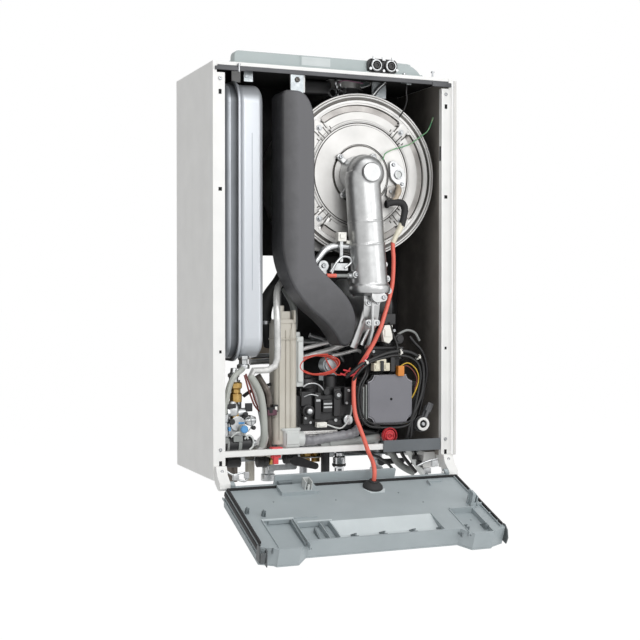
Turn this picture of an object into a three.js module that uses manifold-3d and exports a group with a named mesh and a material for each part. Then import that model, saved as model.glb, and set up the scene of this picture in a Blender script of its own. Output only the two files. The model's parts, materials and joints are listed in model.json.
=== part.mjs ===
// Wall-hung combi boiler with its front cover taken off and its control housing swung down.
// Millimetres. +X is the viewer's right, +Y points into the wall, +Z is up.
// The exported group's origin is the centre of the back panel's wall face.
import * as THREE from "three";
import { mergeVertices } from "three/addons/utils/BufferGeometryUtils.js";
import Module from "manifold-3d";

const wasm = await Module();
wasm.setup();

// ---- casing ----
const CASE_WIDTH = 450; // outside of the side panels
const CASE_HEIGHT = 700; // side panels, top to bottom
const CASE_DEPTH = 220; // wall face to the front flanges
const SHEET = 1.5; // pressed steel
const FLANGE = 21; // front flanges of the side panels
const LIP = 10; // return of each flange into the casing
const FIT = 0.3; // clearance between pieces that sit on each other
const RUN = 0.4; // clearance round what turns or slides
const LEFT = -CASE_WIDTH / 2;
const RIGHT = CASE_WIDTH / 2;
const FRONT = -CASE_DEPTH;
const INSIDE_BACK = -SHEET - FIT;

// ---- heat exchanger and burner door ----
const DRUM_R = 132;
const DRUM_WALL = 2.8;
const DRUM_X = RIGHT - 159;
const DRUM_Z = CASE_HEIGHT - 175;
const DOOR_Y = FRONT + 48; // front face of the door's outer ring
const DOOR_THICK = 6;
const DOOR_R = 138;
const CLAMP_R = 145.5;
const CLAMP_DEPTH = 14;
const BURNER_R = 35;
const BURNER_LENGTH = 100;
const COIL_TUBE_R = 8;
const COIL_TURNS = 3;
const COIL_PITCH = 28;
const FLUE_R = 30; // flue gas spigot on top of the drum
const FLUE_Y = -95;
const AIR_R = 50; // air passage round the flue in the casing's top

// ---- mixing elbow, fan and air duct ----
const ELBOW_R = 31; // pipe of the elbow
const ELBOW_X = DRUM_X - 8;
const ELBOW_Y = DOOR_Y - 41;
const ELBOW_Z = DRUM_Z - 1;
const FAN_TOP = 309; // joint face between fan outlet and elbow
const FAN_HALF = 15; // width of each half of the fan housing
const FAN_X = DRUM_X - 2; // joint plane between the halves
const FAN_AXIS_Y = FRONT + 80;
const FAN_AXIS_Z = FAN_TOP - 21;
const FAN_WALL = 2.5;
const IMPELLER_R = 41;
const SHAFT_R = 4;
const INLET_R = 22;
const MOTOR_R = 38;
const MOTOR_LENGTH = 52;
const DUCT_DEPTH = 56;
const DUCT_WIDTH = 60;
const DUCT_FRONT = DOOR_Y - 4 - DUCT_DEPTH;
const DUCT_WALL = 2.5;
const DUCT_LEFT = DRUM_X - 172;
const DUCT_TOP = CASE_HEIGHT - 42;
const DUCT_TURN = FAN_TOP + 77; // height where the duct starts to turn towards the fan

// ---- expansion vessel ----
const VESSEL_THICK = 72;
const VESSEL_TOP = CASE_HEIGHT - 22;
const VESSEL_BOTTOM = 196;
const VESSEL_LEFT = LEFT + 26;
const VESSEL_FRONT = FRONT + 14;
const VESSEL_CORNER = 42;
const VESSEL_SEAM = 5; // rolled joint between its two shells
const VESSEL_WALL = 2;

// ---- pump ----
const PUMP_X = DRUM_X + 44;
const PUMP_Z = 125;
const PUMP_SIDE = 88;
const PUMP_COVER_DEPTH = 12;
const PUMP_FACE_Y = FRONT + 15;
const PUMP_MOTOR_R = 41;
const PUMP_MOTOR_LENGTH = 60;
const PUMP_BODY_DEPTH = 56;
const PUMP_IMPELLER_R = 30;

// ---- water side ----
const PIPE_R = 6;
const BLOCK_LEFT = -58;
const BLOCK_RIGHT = 42;
const BLOCK_TOP = 148;
const BLOCK_BOTTOM = 73;
const BLOCK_FRONT = FRONT + 35;
const BLOCK_DEPTH = 95;
const SIPHON_LEFT = -106;
const SIPHON_WIDTH = 42;
const SIPHON_TOP = 262;
const SIPHON_BOTTOM = 52;
const SIPHON_FRONT = FRONT + 25;
const SIPHON_DEPTH = 36;
const PLATE_Z = 11; // connection plate across the bottom
const TAP_Y = FRONT + 160; // row of connections
const PLATE_REACH = 29.8; // how far the plate stands in front of that row
const TAP_R = 13;
const TAP_BOTTOM = -30;
const TAP_TOP = 38;
const BAR_Z = 37; // crossbar
const BAR = 10;

// ---- control housing ----
const TILT = THREE.MathUtils.degToRad(20.4); // how far it hangs below level
const HINGE_Y = FRONT - 22;
const HINGE_Z = -6;
const HOUSING_SHY = 10; // how far each end stands in from the casing's side
const HOUSING_WIDTH = CASE_WIDTH - 2 * HOUSING_SHY;
const HOUSING_LENGTH = 206;
const HOUSING_DEPTH = 28;
const HOUSING_WALL = 2.5;
const HOUSING_START = 3;
const NOTCH = 13; // room at each rear corner for the hinge block
const SEAL = 3; // rubber strip round the housing's inner face
const SEAL_START = NOTCH + 3;
const PIN_R = 3;
const EAR_R = 6.5;
const EAR_THICK = 7;
const POCKET = 8; // depth of the stepped pockets
const RECESS = 18; // how far the front wall stands back between its corners
const BUTTON_R = 8;
const DIAL_R = 16;

// ---------------------------------------------------------------- shapes
function block(x0, x1, y0, y1, z0, z1) {
  const box = new THREE.BoxGeometry(x1 - x0, y1 - y0, z1 - z0);
  return box.translate((x0 + x1) / 2, (y0 + y1) / 2, (z0 + z1) / 2);
}

// Turned piece: profile is [radius, place along the axis], outer side running towards +axis.
function turned(profile, axis, segments = 24) {
  const points = profile.map(([r, t]) => new THREE.Vector2(r, t));
  const lathe = new THREE.LatheGeometry(points, segments);
  if (axis === "x") lathe.rotateZ(-Math.PI / 2);
  if (axis === "z") lathe.rotateX(Math.PI / 2);
  return lathe;
}

function rod(radius, from, to, axis, segments = 16) {
  return turned([[0, from], [radius, from], [radius, to], [0, to]], axis, segments);
}

function pipeRing(outer, inner, from, to, axis, segments = 24) {
  const wall = [[inner, from], [outer, from], [outer, to], [inner, to], [inner, from]];
  return turned(wall, axis, segments);
}

function rounded(x0, x1, y0, y1, r) {
  const shape = new THREE.Shape();
  shape.absarc(x1 - r, y0 + r, r, -Math.PI / 2, 0);
  shape.absarc(x1 - r, y1 - r, r, 0, Math.PI / 2);
  shape.absarc(x0 + r, y1 - r, r, Math.PI / 2, Math.PI);
  shape.absarc(x0 + r, y0 + r, r, Math.PI, 1.5 * Math.PI);
  return shape;
}

function outline(points) {
  return new THREE.Shape(points.map(([a, b]) => new THREE.Vector2(a, b)));
}

function extruded(shape, depth, bevel, curveSegments) {
  const geometry = new THREE.ExtrudeGeometry(shape, {
    depth: depth - 2 * bevel,
    bevelEnabled: bevel > 0,
    bevelThickness: bevel,
    bevelSize: bevel,
    bevelOffset: -bevel,
    bevelSegments: bevel > 2 ? 2 : 1,
    curveSegments,
  });
  return geometry.translate(0, 0, bevel);
}

// Shape drawn in plan (X, Y), from z0 up to z1.
function inPlan(shape, z0, z1, bevel = 0, curve = 4) {
  return extruded(shape, z1 - z0, bevel, curve).translate(0, 0, z0);
}

// Shape drawn in front elevation (X, Z), from y0 to y1.
function inFront(shape, y0, y1, bevel = 0, curve = 4) {
  return extruded(shape, y1 - y0, bevel, curve).rotateX(Math.PI / 2).translate(0, y1, 0);
}

// Shape drawn in side elevation (Y, Z), from x0 to x1.
function inSide(shape, x0, x1, bevel = 0, curve = 4) {
  const geometry = extruded(shape, x1 - x0, bevel, curve);
  return geometry.rotateX(Math.PI / 2).rotateZ(Math.PI / 2).translate(x0, 0, 0);
}

function routeOf(points) {
  return new THREE.CatmullRomCurve3(points.map((p) => new THREE.Vector3(...p)), false, "centripetal");
}

function along(curve, radius, steps, sides = 8) {
  const section = [];
  for (let i = 0; i < sides; i++) {
    const angle = (i / sides) * 2 * Math.PI;
    section.push([radius * Math.cos(angle), radius * Math.sin(angle)]);
  }
  return new THREE.ExtrudeGeometry(outline(section), { steps, extrudePath: curve });
}

function toSolid(geometry) {
  const bare = new THREE.BufferGeometry();
  bare.setAttribute("position", geometry.getAttribute("position"));
  if (geometry.index) bare.setIndex(geometry.index);
  const welded = mergeVertices(bare, 1e-3);
  const triVerts = new Uint32Array(welded.index.array);
  const vertProperties = welded.getAttribute("position").array;
  return new wasm.Manifold(new wasm.Mesh({ numProp: 3, vertProperties, triVerts }));
}

function fromSolid(solid) {
  const mesh = solid.getMesh();
  const geometry = new THREE.BufferGeometry();
  geometry.setAttribute("position", new THREE.BufferAttribute(mesh.vertProperties, 3));
  geometry.setIndex(new THREE.BufferAttribute(mesh.triVerts, 1));
  geometry.computeVertexNormals();
  return geometry;
}

function join(...pieces) {
  return fromSolid(pieces.map(toSolid).reduce((a, b) => a.add(b)));
}

function cut(base, ...tools) {
  return fromSolid(tools.map(toSolid).reduce((a, b) => a.subtract(b), toSolid(base)));
}

function at(geometry, x, y, z) {
  return geometry.translate(x, y, z);
}

// ---------------------------------------------------------------- materials
function finish(color, roughness, metalness = 0) {
  return new THREE.MeshStandardMaterial({ color, roughness, metalness });
}

const white = finish(0xf0f0ee, 0.45);
const galvanised = finish(0xb9bdbf, 0.45, 0.8);
const darkLining = finish(0x2c2b2a, 0.9);
const headerGrey = finish(0xc3cccb, 0.5);
const silverPaint = finish(0xc3c8cc, 0.4, 0.3);
const ductGrey = finish(0x5f5f62, 0.6);
const stainless = finish(0xd9d7d2, 0.3, 0.9);
const castAluminium = finish(0xb4b5b4, 0.45, 0.8);
const blackPlastic = finish(0x1d1d1f, 0.6);
const pumpGrey = finish(0x7c7c82, 0.5);
const redPlastic = finish(0xe0454a, 0.45);
const redLead = finish(0xe0746a, 0.5);
const rubber = finish(0x232224, 0.8);
const siphonBeige = finish(0xb9b2a4, 0.5);
const brass = finish(0xb98a3c, 0.35, 0.9);
const chrome = finish(0xdcdcdc, 0.15, 1);
const housingGrey = finish(0xa3abae, 0.55);
const bracketGrey = finish(0x5c6165, 0.5);
const hoseGrey = finish(0xa9aca6, 0.6);
const boardGreen = finish(0x2f6b46, 0.6);
const steel = finish(0x9a9c9e, 0.4, 0.9);

// ---------------------------------------------------------------- scene graph
const boiler = new THREE.Group();
const casing = new THREE.Group();
const combustion = new THREE.Group();
const hydraulics = new THREE.Group();
const controls = new THREE.Group();
casing.position.z = -CASE_HEIGHT / 2;
combustion.position.z = -CASE_HEIGHT / 2;
hydraulics.position.z = -CASE_HEIGHT / 2;
controls.position.set(0, HINGE_Y, HINGE_Z - CASE_HEIGHT / 2);
controls.rotation.x = TILT;
boiler.add(casing, combustion, hydraulics, controls);

function add(group, name, geometry, material, x = 0, y = 0, z = 0) {
  const mesh = new THREE.Mesh(geometry, material);
  mesh.name = name;
  mesh.position.set(x, y, z);
  group.add(mesh);
}

// ---------------------------------------------------------------- casing
const SHOULDER = 19; // the wide part of each flange stops this far below the top
const EDGE = 7; // narrow strip of flange that goes on up to the top
const FLANGE_HOLES = [0.041, 0.072, 0.316, 0.715, 0.954, 0.987];

function sidePanel(side) {
  const x = (distance) => side * (RIGHT - distance);
  const span = (a, b) => [Math.min(x(a), x(b)), Math.max(x(a), x(b))];
  const wall = block(...span(0, SHEET), FRONT, 0, 0, CASE_HEIGHT);
  const flange = block(...span(0, FLANGE), FRONT, FRONT + SHEET, 0, CASE_HEIGHT - SHOULDER);
  const strip = block(...span(0, EDGE), FRONT, FRONT + SHEET, 0, CASE_HEIGHT);
  const lip = block(...span(FLANGE - SHEET, FLANGE), FRONT, FRONT + LIP, 0, CASE_HEIGHT - SHOULDER);
  const holes = FLANGE_HOLES.map((share) => {
    const hole = rod(2, -SHEET, 2 * SHEET, "y", 8);
    return at(hole, x(FLANGE * 0.6), FRONT, share * (CASE_HEIGHT - SHOULDER));
  });
  return cut(join(wall, flange, strip, lip), ...holes);
}

const PANEL_EDGE = RIGHT - SHEET - FIT; // back panel and top panel sit between the side panels
const OPENING_LEFT = -150;
const OPENING_RIGHT = 92;
const OPENING_TOP = 385; // pipe opening in the lower back
const TONGUE = 22;
const TONGUE_FOOT = 330; // half width and lower end of the tongue in its upper edge
const RIM = 9; // front edge of the top panel, folded down
const BRACKET = 1.5;
const DUCT_TAB_X = DUCT_LEFT + 22;
const DUCT_TAB_WIDTH = 27;
const DUCT_TAB_Y = DUCT_FRONT + 20;

function backPanel() {
  const sheet = block(-PANEL_EDGE, PANEL_EDGE, -SHEET, 0, 0, CASE_HEIGHT - SHEET - FIT);
  const opening = block(OPENING_LEFT, OPENING_RIGHT, -2 * SHEET, SHEET, -SHEET, OPENING_TOP);
  const tongue = block(-TONGUE, TONGUE, -SHEET, 0, TONGUE_FOOT, OPENING_TOP + 1);
  return join(cut(sheet, opening), tongue);
}

function topPanel() {
  const under = CASE_HEIGHT - SHEET;
  const between = RIGHT - EDGE - FIT;
  const sheet = join(
    block(-PANEL_EDGE, PANEL_EDGE, FRONT + SHEET + FIT, 0, under, CASE_HEIGHT),
    block(-between, between, FRONT, FRONT + 3 * SHEET, under, CASE_HEIGHT),
  );
  const rim = block(-between, between, FRONT, FRONT + SHEET, under - RIM, CASE_HEIGHT);
  const air = at(rod(AIR_R, under - 1, CASE_HEIGHT + 1, "z"), DRUM_X, FLUE_Y, 0);
  const ductTab = block(DUCT_TAB_X, DUCT_TAB_X + DUCT_TAB_WIDTH, DUCT_TAB_Y, DUCT_TAB_Y + BRACKET,
    DUCT_TOP + FIT, CASE_HEIGHT - SHEET / 2);
  const tabs = [0.25, 0.75].map((share) => {
    const y = VESSEL_FRONT * share;
    const x = VESSEL_LEFT + VESSEL_THICK / 2;
    return block(x - 8, x + 8, y - BRACKET, y, VESSEL_TOP + FIT, CASE_HEIGHT - SHEET / 2);
  });
  return join(cut(sheet, air), rim, ductTab, ...tabs);
}

// The front edge is flat along a flange that the photograph shows rising over the casing's top.
const HEADER_HEIGHT = 21;
const HEADER_LEFT = LEFT + 60;
const HEADER_RIGHT = RIGHT - 75;
const HEADER_BACK = -30;
const HEADER_FRONT = FRONT + 6;
const NOSE = 20; // depth of the header's wider front part

function headerCover() {
  const base = CASE_HEIGHT + FIT;
  const top = base + HEADER_HEIGHT;
  const plan = rounded(HEADER_LEFT, HEADER_RIGHT, HEADER_FRONT, HEADER_BACK, 14);
  const nose = new THREE.Shape();
  nose.moveTo(HEADER_LEFT - 21, base);
  nose.lineTo(HEADER_RIGHT + 16, base);
  nose.quadraticCurveTo(HEADER_RIGHT + 4, top - 2, HEADER_RIGHT - 22, top);
  nose.lineTo(HEADER_LEFT - 12, top);
  nose.quadraticCurveTo(HEADER_LEFT - 20, top, HEADER_LEFT - 21, top - 9);
  const body = join(inPlan(plan, base, top, 3, 3), inFront(nose, HEADER_FRONT, HEADER_FRONT + NOSE, 1.5));
  const hollow = rounded(HEADER_LEFT + 4, HEADER_RIGHT - 4, HEADER_FRONT + 24, HEADER_BACK - 4, 10);
  const air = at(rod(AIR_R, base - 1, top + 1, "z"), DRUM_X, FLUE_Y, 0);
  return cut(body, inPlan(hollow, base - 1, top - 3), air);
}

const PORT_X = DRUM_X - 8;
const PORT_WIDTH = 58;
const PORT_TOP = HEADER_HEIGHT + 4;

function testPortBlock() {
  const y = HEADER_FRONT - FIT;
  const oval = rounded(PORT_X, PORT_X + PORT_WIDTH, CASE_HEIGHT + FIT, CASE_HEIGHT + PORT_TOP, 9);
  const plate = inFront(oval, y - 4, y);
  const caps = [0.3, 0.72].map((share) => {
    const x = PORT_X + PORT_WIDTH * share;
    return at(turned([[0, 0], [7, 0], [6, 5], [0, 5]], "y", 14).rotateX(Math.PI), x, y - 3.9,
      CASE_HEIGHT + PORT_TOP / 2);
  });
  return join(plate, ...caps);
}

const BAR_END = RIGHT - FLANGE - FIT;
const BAR_FRONT = FRONT + 4;
const BRACKET_LEFT = 90;

function crossbar() {
  const tube = block(-BAR_END, BAR_END, BAR_FRONT, BAR_FRONT + BAR, BAR_Z, BAR_Z + BAR);
  const inner = BAR - 2 * SHEET;
  const bore = block(-RIGHT, RIGHT, BAR_FRONT + SHEET, BAR_FRONT + SHEET + inner, BAR_Z + SHEET,
    BAR_Z + SHEET + inner);
  return cut(tube, bore);
}

function crossbarBracket() {
  const y = BAR_FRONT - FIT;
  const plate = block(BRACKET_LEFT, BAR_END, y - BRACKET, y, BAR_Z - 5, BAR_Z + BAR + 6);
  const fold = block(BRACKET_LEFT, BAR_END, y - BRACKET, BAR_FRONT + BAR, BAR_Z + BAR + FIT,
    BAR_Z + BAR + FIT + BRACKET);
  const slot = rounded(BRACKET_LEFT + 20, BRACKET_LEFT + 50, BAR_Z + 2, BAR_Z + 7, 2.4);
  return cut(join(plate, fold), inFront(slot, y - 5, y + 2));
}

// Each hinge block is screwed to the foot of a front flange and carries half of the hinge pin.
function hingeBlock(side) {
  const foot = outline([
    [FRONT - FIT, 24], [FRONT - 8, 24], [FRONT - 14, 10], [HINGE_Y - 7, HINGE_Z + 4],
    [HINGE_Y - 7, HINGE_Z - 4], [HINGE_Y - 3, HINGE_Z - 8], [HINGE_Y + 4, HINGE_Z - 8], [FRONT - FIT, -4],
  ]);
  const inner = RIGHT - FLANGE;
  const [x0, x1] = side < 0 ? [-(RIGHT - 2), -inner] : [inner, RIGHT - 2];
  const reach = EAR_THICK + 3;
  const pin = side < 0 ? rod(PIN_R, x1 - 1, x1 + reach, "x", 16) : rod(PIN_R, x0 - reach, x0 + 1, "x", 16);
  return join(inSide(foot, x0, x1), at(pin, 0, HINGE_Y, HINGE_Z));
}

add(casing, "back_panel", backPanel(), darkLining);
add(casing, "left_side_panel", sidePanel(-1), white);
add(casing, "right_side_panel", sidePanel(1), white);
add(casing, "top_panel", topPanel(), white);
add(casing, "header_cover", headerCover(), headerGrey);
add(casing, "test_port_block", testPortBlock(), blackPlastic);
add(casing, "front_crossbar", crossbar(), white);
add(casing, "crossbar_bracket", crossbarBracket(), bracketGrey);
add(casing, "hinge_block_left", hingeBlock(-1), white);
add(casing, "hinge_block_right", hingeBlock(1), white);

// ---------------------------------------------------------------- heat exchanger
const DRUM_FRONT = DOOR_Y + DOOR_THICK + FIT;
const CLAMP_FRONT = DOOR_Y - 2;
const BODY_FLANGE = 3;

function exchangerBody() {
  const inner = DRUM_R - DRUM_WALL;
  const shell = turned([
    [0, INSIDE_BACK - DRUM_WALL], [inner, INSIDE_BACK - DRUM_WALL], [inner, DRUM_FRONT],
    [DOOR_R, DRUM_FRONT], [DOOR_R, DRUM_FRONT + BODY_FLANGE], [DRUM_R, DRUM_FRONT + BODY_FLANGE],
    [DRUM_R, INSIDE_BACK], [0, INSIDE_BACK],
  ], "y", 32);
  const spigotTop = CASE_HEIGHT + HEADER_HEIGHT - 6 - DRUM_Z;
  const spigot = at(rod(FLUE_R + 2, inner, spigotTop, "z"), 0, FLUE_Y, 0);
  const bore = at(rod(FLUE_R, inner - 12, spigotTop + 1, "z"), 0, FLUE_Y, 0);
  return cut(join(shell, spigot), bore);
}

// The door is a pressed disc: an outer ring, a pan, grooves, a hub, and four arc-shaped pockets.
const POCKET_INNER = 113;
const POCKET_OUTER = 125;
const POCKET_HALF_ANGLE = THREE.MathUtils.degToRad(39);

function arcPocket(direction) {
  const shape = new THREE.Shape();
  shape.absarc(0, 0, POCKET_OUTER, direction - POCKET_HALF_ANGLE, direction + POCKET_HALF_ANGLE);
  shape.absarc(0, 0, POCKET_INNER, direction + POCKET_HALF_ANGLE, direction - POCKET_HALF_ANGLE, true);
  return inFront(shape, DOOR_Y - 5, DOOR_Y + 4, 0, 7);
}

function burnerDoor() {
  const back = DOOR_Y + DOOR_THICK;
  const disc = turned([
    [0, DOOR_Y - 1], [51, DOOR_Y - 1], [52, DOOR_Y + 2.5], [54.5, DOOR_Y + 2.5], [55.5, DOOR_Y],
    [89, DOOR_Y], [90, DOOR_Y + 2], [93, DOOR_Y + 2], [94, DOOR_Y], [DOOR_R, DOOR_Y], [DOOR_R, back], [0, back],
  ].reverse().map(([r, y]) => [r, -y]), "y", 36).rotateX(Math.PI);
  const centre = at(rod(BURNER_R - 8, DOOR_Y - 10, back + 10, "y"), 0, 0, 0);
  const pockets = [0, 1, 2, 3].map((quarter) => arcPocket((quarter * Math.PI) / 2));
  return cut(disc, centre, ...pockets);
}

function burnerTube() {
  const start = DRUM_FRONT;
  return turned([
    [BURNER_R - 2, start], [BURNER_R + 10, start], [BURNER_R + 10, start + 3], [BURNER_R, start + 3],
    [BURNER_R, start + BURNER_LENGTH], [0, start + BURNER_LENGTH], [0, start + BURNER_LENGTH - 2],
    [BURNER_R - 2, start + BURNER_LENGTH - 2], [BURNER_R - 2, start],
  ], "y", 20);
}

class CoilCurve extends THREE.Curve {
  constructor(radius, pitch, turns) {
    super();
    Object.assign(this, { radius, pitch, turns });
  }

  getPoint(t, target = new THREE.Vector3()) {
    const angle = 2 * Math.PI * this.turns * t;
    return target.set(this.radius * Math.cos(angle), this.pitch * this.turns * t, this.radius * Math.sin(angle));
  }
}

function exchangerCoil() {
  const radius = DRUM_R - DRUM_WALL - COIL_TUBE_R - 3 * FIT;
  const start = DRUM_FRONT + COIL_TUBE_R + 6;
  const coil = along(new CoilCurve(radius, COIL_PITCH, COIL_TURNS), COIL_TUBE_R, 24 * COIL_TURNS, 6);
  return at(coil, 0, start, 0);
}

add(combustion, "heat_exchanger_body", exchangerBody(), stainless, DRUM_X, 0, DRUM_Z);
add(combustion, "burner_door", burnerDoor(), stainless, DRUM_X, 0, DRUM_Z);
add(combustion, "door_clamp_ring",
  pipeRing(CLAMP_R, DOOR_R + FIT, CLAMP_FRONT, CLAMP_FRONT + CLAMP_DEPTH, "y", 48), stainless, DRUM_X, 0, DRUM_Z);
add(combustion, "burner_tube", burnerTube(), steel, DRUM_X, 0, DRUM_Z);
add(combustion, "exchanger_coil", exchangerCoil(), stainless, DRUM_X, 0, DRUM_Z);

// ---------------------------------------------------------------- mixing elbow
const ELBOW_FOOT_X = FAN_X + 3;
const ELBOW_FOOT_Y = FRONT + 12;
const ELBOW_WALL = 4;
const COLLAR = 6;
const LUG_R = 46; // screws of its flange
const LUG_ANGLES = [48, 138, 232];

// A cast bend from the door down to the fan's outlet, with a round flat on its outer corner.
function mixingElbow() {
  const plateBack = DOOR_Y - 1 - FIT;
  const plateFront = plateBack - 6;
  const top = new THREE.Vector3(ELBOW_X - 6.5, ELBOW_FOOT_Y - 2, ELBOW_Z);
  const bottom = new THREE.Vector3(ELBOW_FOOT_X, ELBOW_FOOT_Y, FAN_TOP + 14);
  const length = top.distanceTo(bottom);
  const lean = Math.atan2(bottom.x - top.x, top.z - bottom.z);
  const leg = (geometry) => geometry.rotateY(-lean).translate(top.x, top.y, top.z);
  const profile = [[0, -length], [ELBOW_R + 1, -length]];
  [0.62, 0.42].forEach((share) => {
    const z = -share * length;
    profile.push([ELBOW_R + 0.6, z - 1.2], [ELBOW_R + 1.6, z], [ELBOW_R + 0.4, z + 1.2]);
  });
  profile.push([ELBOW_R, -8], [ELBOW_R - 3, 4], [0, 4]);
  const upright = leg(turned(profile, "z", 22));
  const dome = at(new THREE.SphereGeometry(ELBOW_R + 1, 18, 9), ELBOW_X, ELBOW_Y, ELBOW_Z);
  const boss = at(rod(16, ELBOW_Y - ELBOW_R - 1.5, ELBOW_Y, "y", 18), ELBOW_X - 3, 0, ELBOW_Z - 1);
  const neck = at(rod(ELBOW_R + 3, ELBOW_Y + 6, plateBack, "y"), ELBOW_X, 0, ELBOW_Z);
  const lugs = LUG_ANGLES.map((angle) => {
    const arm = block(0, LUG_R, plateFront, plateBack, -5, 5);
    const end = at(rod(6, plateFront, plateBack, "y", 10), LUG_R, 0, 0);
    const turn = -THREE.MathUtils.degToRad(angle);
    return join(arm, end).rotateY(turn).translate(ELBOW_X, 0, ELBOW_Z);
  });
  const flange = at(turned([
    [0, FAN_TOP + FIT], [ELBOW_R - 4, FAN_TOP + FIT], [ELBOW_R + 4, FAN_TOP + 5], [ELBOW_R + COLLAR, FAN_TOP + 11],
    [ELBOW_R + COLLAR, FAN_TOP + 17], [ELBOW_R, FAN_TOP + 24], [0, FAN_TOP + 24],
  ], "z", 22), ELBOW_FOOT_X, ELBOW_FOOT_Y, 0);
  const bore = join(
    leg(rod(ELBOW_R - ELBOW_WALL, -length - 2, -4, "z", 12)),
    at(rod(BURNER_R - 10, ELBOW_Y, plateBack + 1, "y", 12), ELBOW_X, 0, ELBOW_Z),
    at(rod(20, FAN_TOP - 1, FAN_TOP + 28, "z", 12), ELBOW_FOOT_X, ELBOW_FOOT_Y, 0),
  );
  return cut(join(upright, dome, boss, neck, flange, ...lugs), bore);
}

add(combustion, "mixing_elbow", mixingElbow(), castAluminium);

// ---------------------------------------------------------------- fan
const VOLUTE_R = 80;
const OUTLET_DEPTH = 46;
const HALF_GAP = FIT / 2;

// Spiral housing seen from the side, with its outlet rising at the front; inset gives the hollow.
function volute(inset) {
  const shape = new THREE.Shape();
  const bottom = FAN_TOP - 9;
  const back = FAN_AXIS_Y - 5;
  shape.moveTo(FRONT - 5 + inset, FAN_TOP);
  shape.lineTo(FRONT - 5 + inset, bottom);
  shape.absarc(back, bottom, VOLUTE_R - inset, Math.PI, 1.5 * Math.PI);
  shape.absarc(back, bottom - 5, VOLUTE_R - 5 - inset, -Math.PI / 2, 0);
  shape.absarc(back + 30, bottom - 5, VOLUTE_R - 35 - inset, 0, Math.PI / 2);
  shape.lineTo(FRONT + OUTLET_DEPTH + 24 + inset, bottom + VOLUTE_R - 40 - inset);
  shape.lineTo(FRONT + OUTLET_DEPTH - 5 - inset, FAN_TOP - 4);
  shape.lineTo(FRONT + OUTLET_DEPTH - 5 - inset, FAN_TOP);
  return shape;
}

function fanHalf(x0, x1, openSide, holeRadius) {
  const shell = inSide(volute(0), x0, x1, 0, 5);
  const [h0, h1] = openSide > 0 ? [x0 + FAN_WALL, x1 + 1] : [x0 - 1, x1 - FAN_WALL];
  const hollow = inSide(volute(FAN_WALL), h0, h1, 0, 4);
  const outlet = block(h0, h1, FRONT - 5 + FAN_WALL, FRONT + OUTLET_DEPTH - 5 - FAN_WALL, FAN_TOP - 3, FAN_TOP + 1);
  const hole = at(rod(holeRadius, x0 - 1, x1 + 1, "x", 20), 0, FAN_AXIS_Y, FAN_AXIS_Z);
  return cut(shell, hollow, outlet, hole);
}

function fanImpeller() {
  const hub = rod(SHAFT_R + 5, -10, 10, "x", 12);
  const rear = rod(IMPELLER_R, 8, 10, "x", 20);
  const shroud = pipeRing(IMPELLER_R, INLET_R, -10, -8.5, "x", 20);
  const shaft = rod(SHAFT_R, 9, FAN_HALF + 30, "x", 12);
  const blades = [];
  const count = 6;
  for (let i = 0; i < count; i++) {
    const blade = block(-9, 9, -0.8, 0.8, SHAFT_R + 3, IMPELLER_R - 1);
    blades.push(blade.rotateX((i / count) * 2 * Math.PI));
  }
  return join(hub, rear, shroud, shaft, ...blades);
}

function fanMotor() {
  const body = turned([
    [0, 0], [MOTOR_R - 12, 0], [MOTOR_R - 10, 6], [MOTOR_R, 8], [MOTOR_R, MOTOR_LENGTH - 5],
    [MOTOR_R - 5, MOTOR_LENGTH], [0, MOTOR_LENGTH],
  ], "x", 24);
  const bore = rod(SHAFT_R + RUN, -1, 34, "x", 12);
  const connector = block(10, 42, -MOTOR_R - 12, -MOTOR_R + 14, -34, -12);
  return cut(join(body, connector), bore);
}

const FAN_LEFT = FAN_X - FAN_HALF - HALF_GAP;
const FAN_RIGHT = FAN_X + FAN_HALF + HALF_GAP;
add(combustion, "fan_inlet_half", fanHalf(FAN_LEFT, FAN_X - HALF_GAP, 1, INLET_R), castAluminium);
add(combustion, "fan_motor_half", fanHalf(FAN_X + HALF_GAP, FAN_RIGHT, -1, SHAFT_R + RUN), castAluminium);
add(combustion, "fan_impeller", fanImpeller(), steel, FAN_X, FAN_AXIS_Y, FAN_AXIS_Z);
add(combustion, "fan_motor", fanMotor(), blackPlastic, FAN_RIGHT + FIT, FAN_AXIS_Y, FAN_AXIS_Z);

// ---------------------------------------------------------------- air duct
// Front view of the duct: straight from the top, then swept down to the right to the fan inlet.
function ductOutline(inset) {
  const left = DUCT_LEFT + inset;
  const right = DUCT_LEFT + DUCT_WIDTH - inset;
  const tip = FAN_LEFT - 12 - inset;
  const bend = DUCT_TURN;
  const shape = new THREE.Shape();
  shape.moveTo(left, bend + 5);
  shape.bezierCurveTo(left + 4, bend - 50, left + 38, bend - 92, left + 66, bend - 112);
  shape.bezierCurveTo(left + 88, bend - 130, left + 104, bend - 142, tip - 20, FAN_TOP - 76 + inset);
  shape.lineTo(tip - 5, FAN_TOP - 88 + 2 * inset);
  shape.lineTo(tip - 1, FAN_TOP - 76 + inset);
  shape.lineTo(tip - 13, FAN_TOP - 48);
  shape.bezierCurveTo(tip - 12, FAN_TOP - 20, tip - 24, FAN_TOP, tip - 42, FAN_TOP + 17);
  shape.bezierCurveTo(tip - 70, FAN_TOP + 45, right, FAN_TOP + 50, right, bend);
  shape.lineTo(right, DUCT_TOP - 60);
  shape.bezierCurveTo(right, DUCT_TOP - 25, right - 12, DUCT_TOP - inset, right - 34, DUCT_TOP - inset);
  shape.lineTo(left + 6, DUCT_TOP - inset);
  shape.lineTo(left, DUCT_TOP - 8);
  return shape;
}

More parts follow.
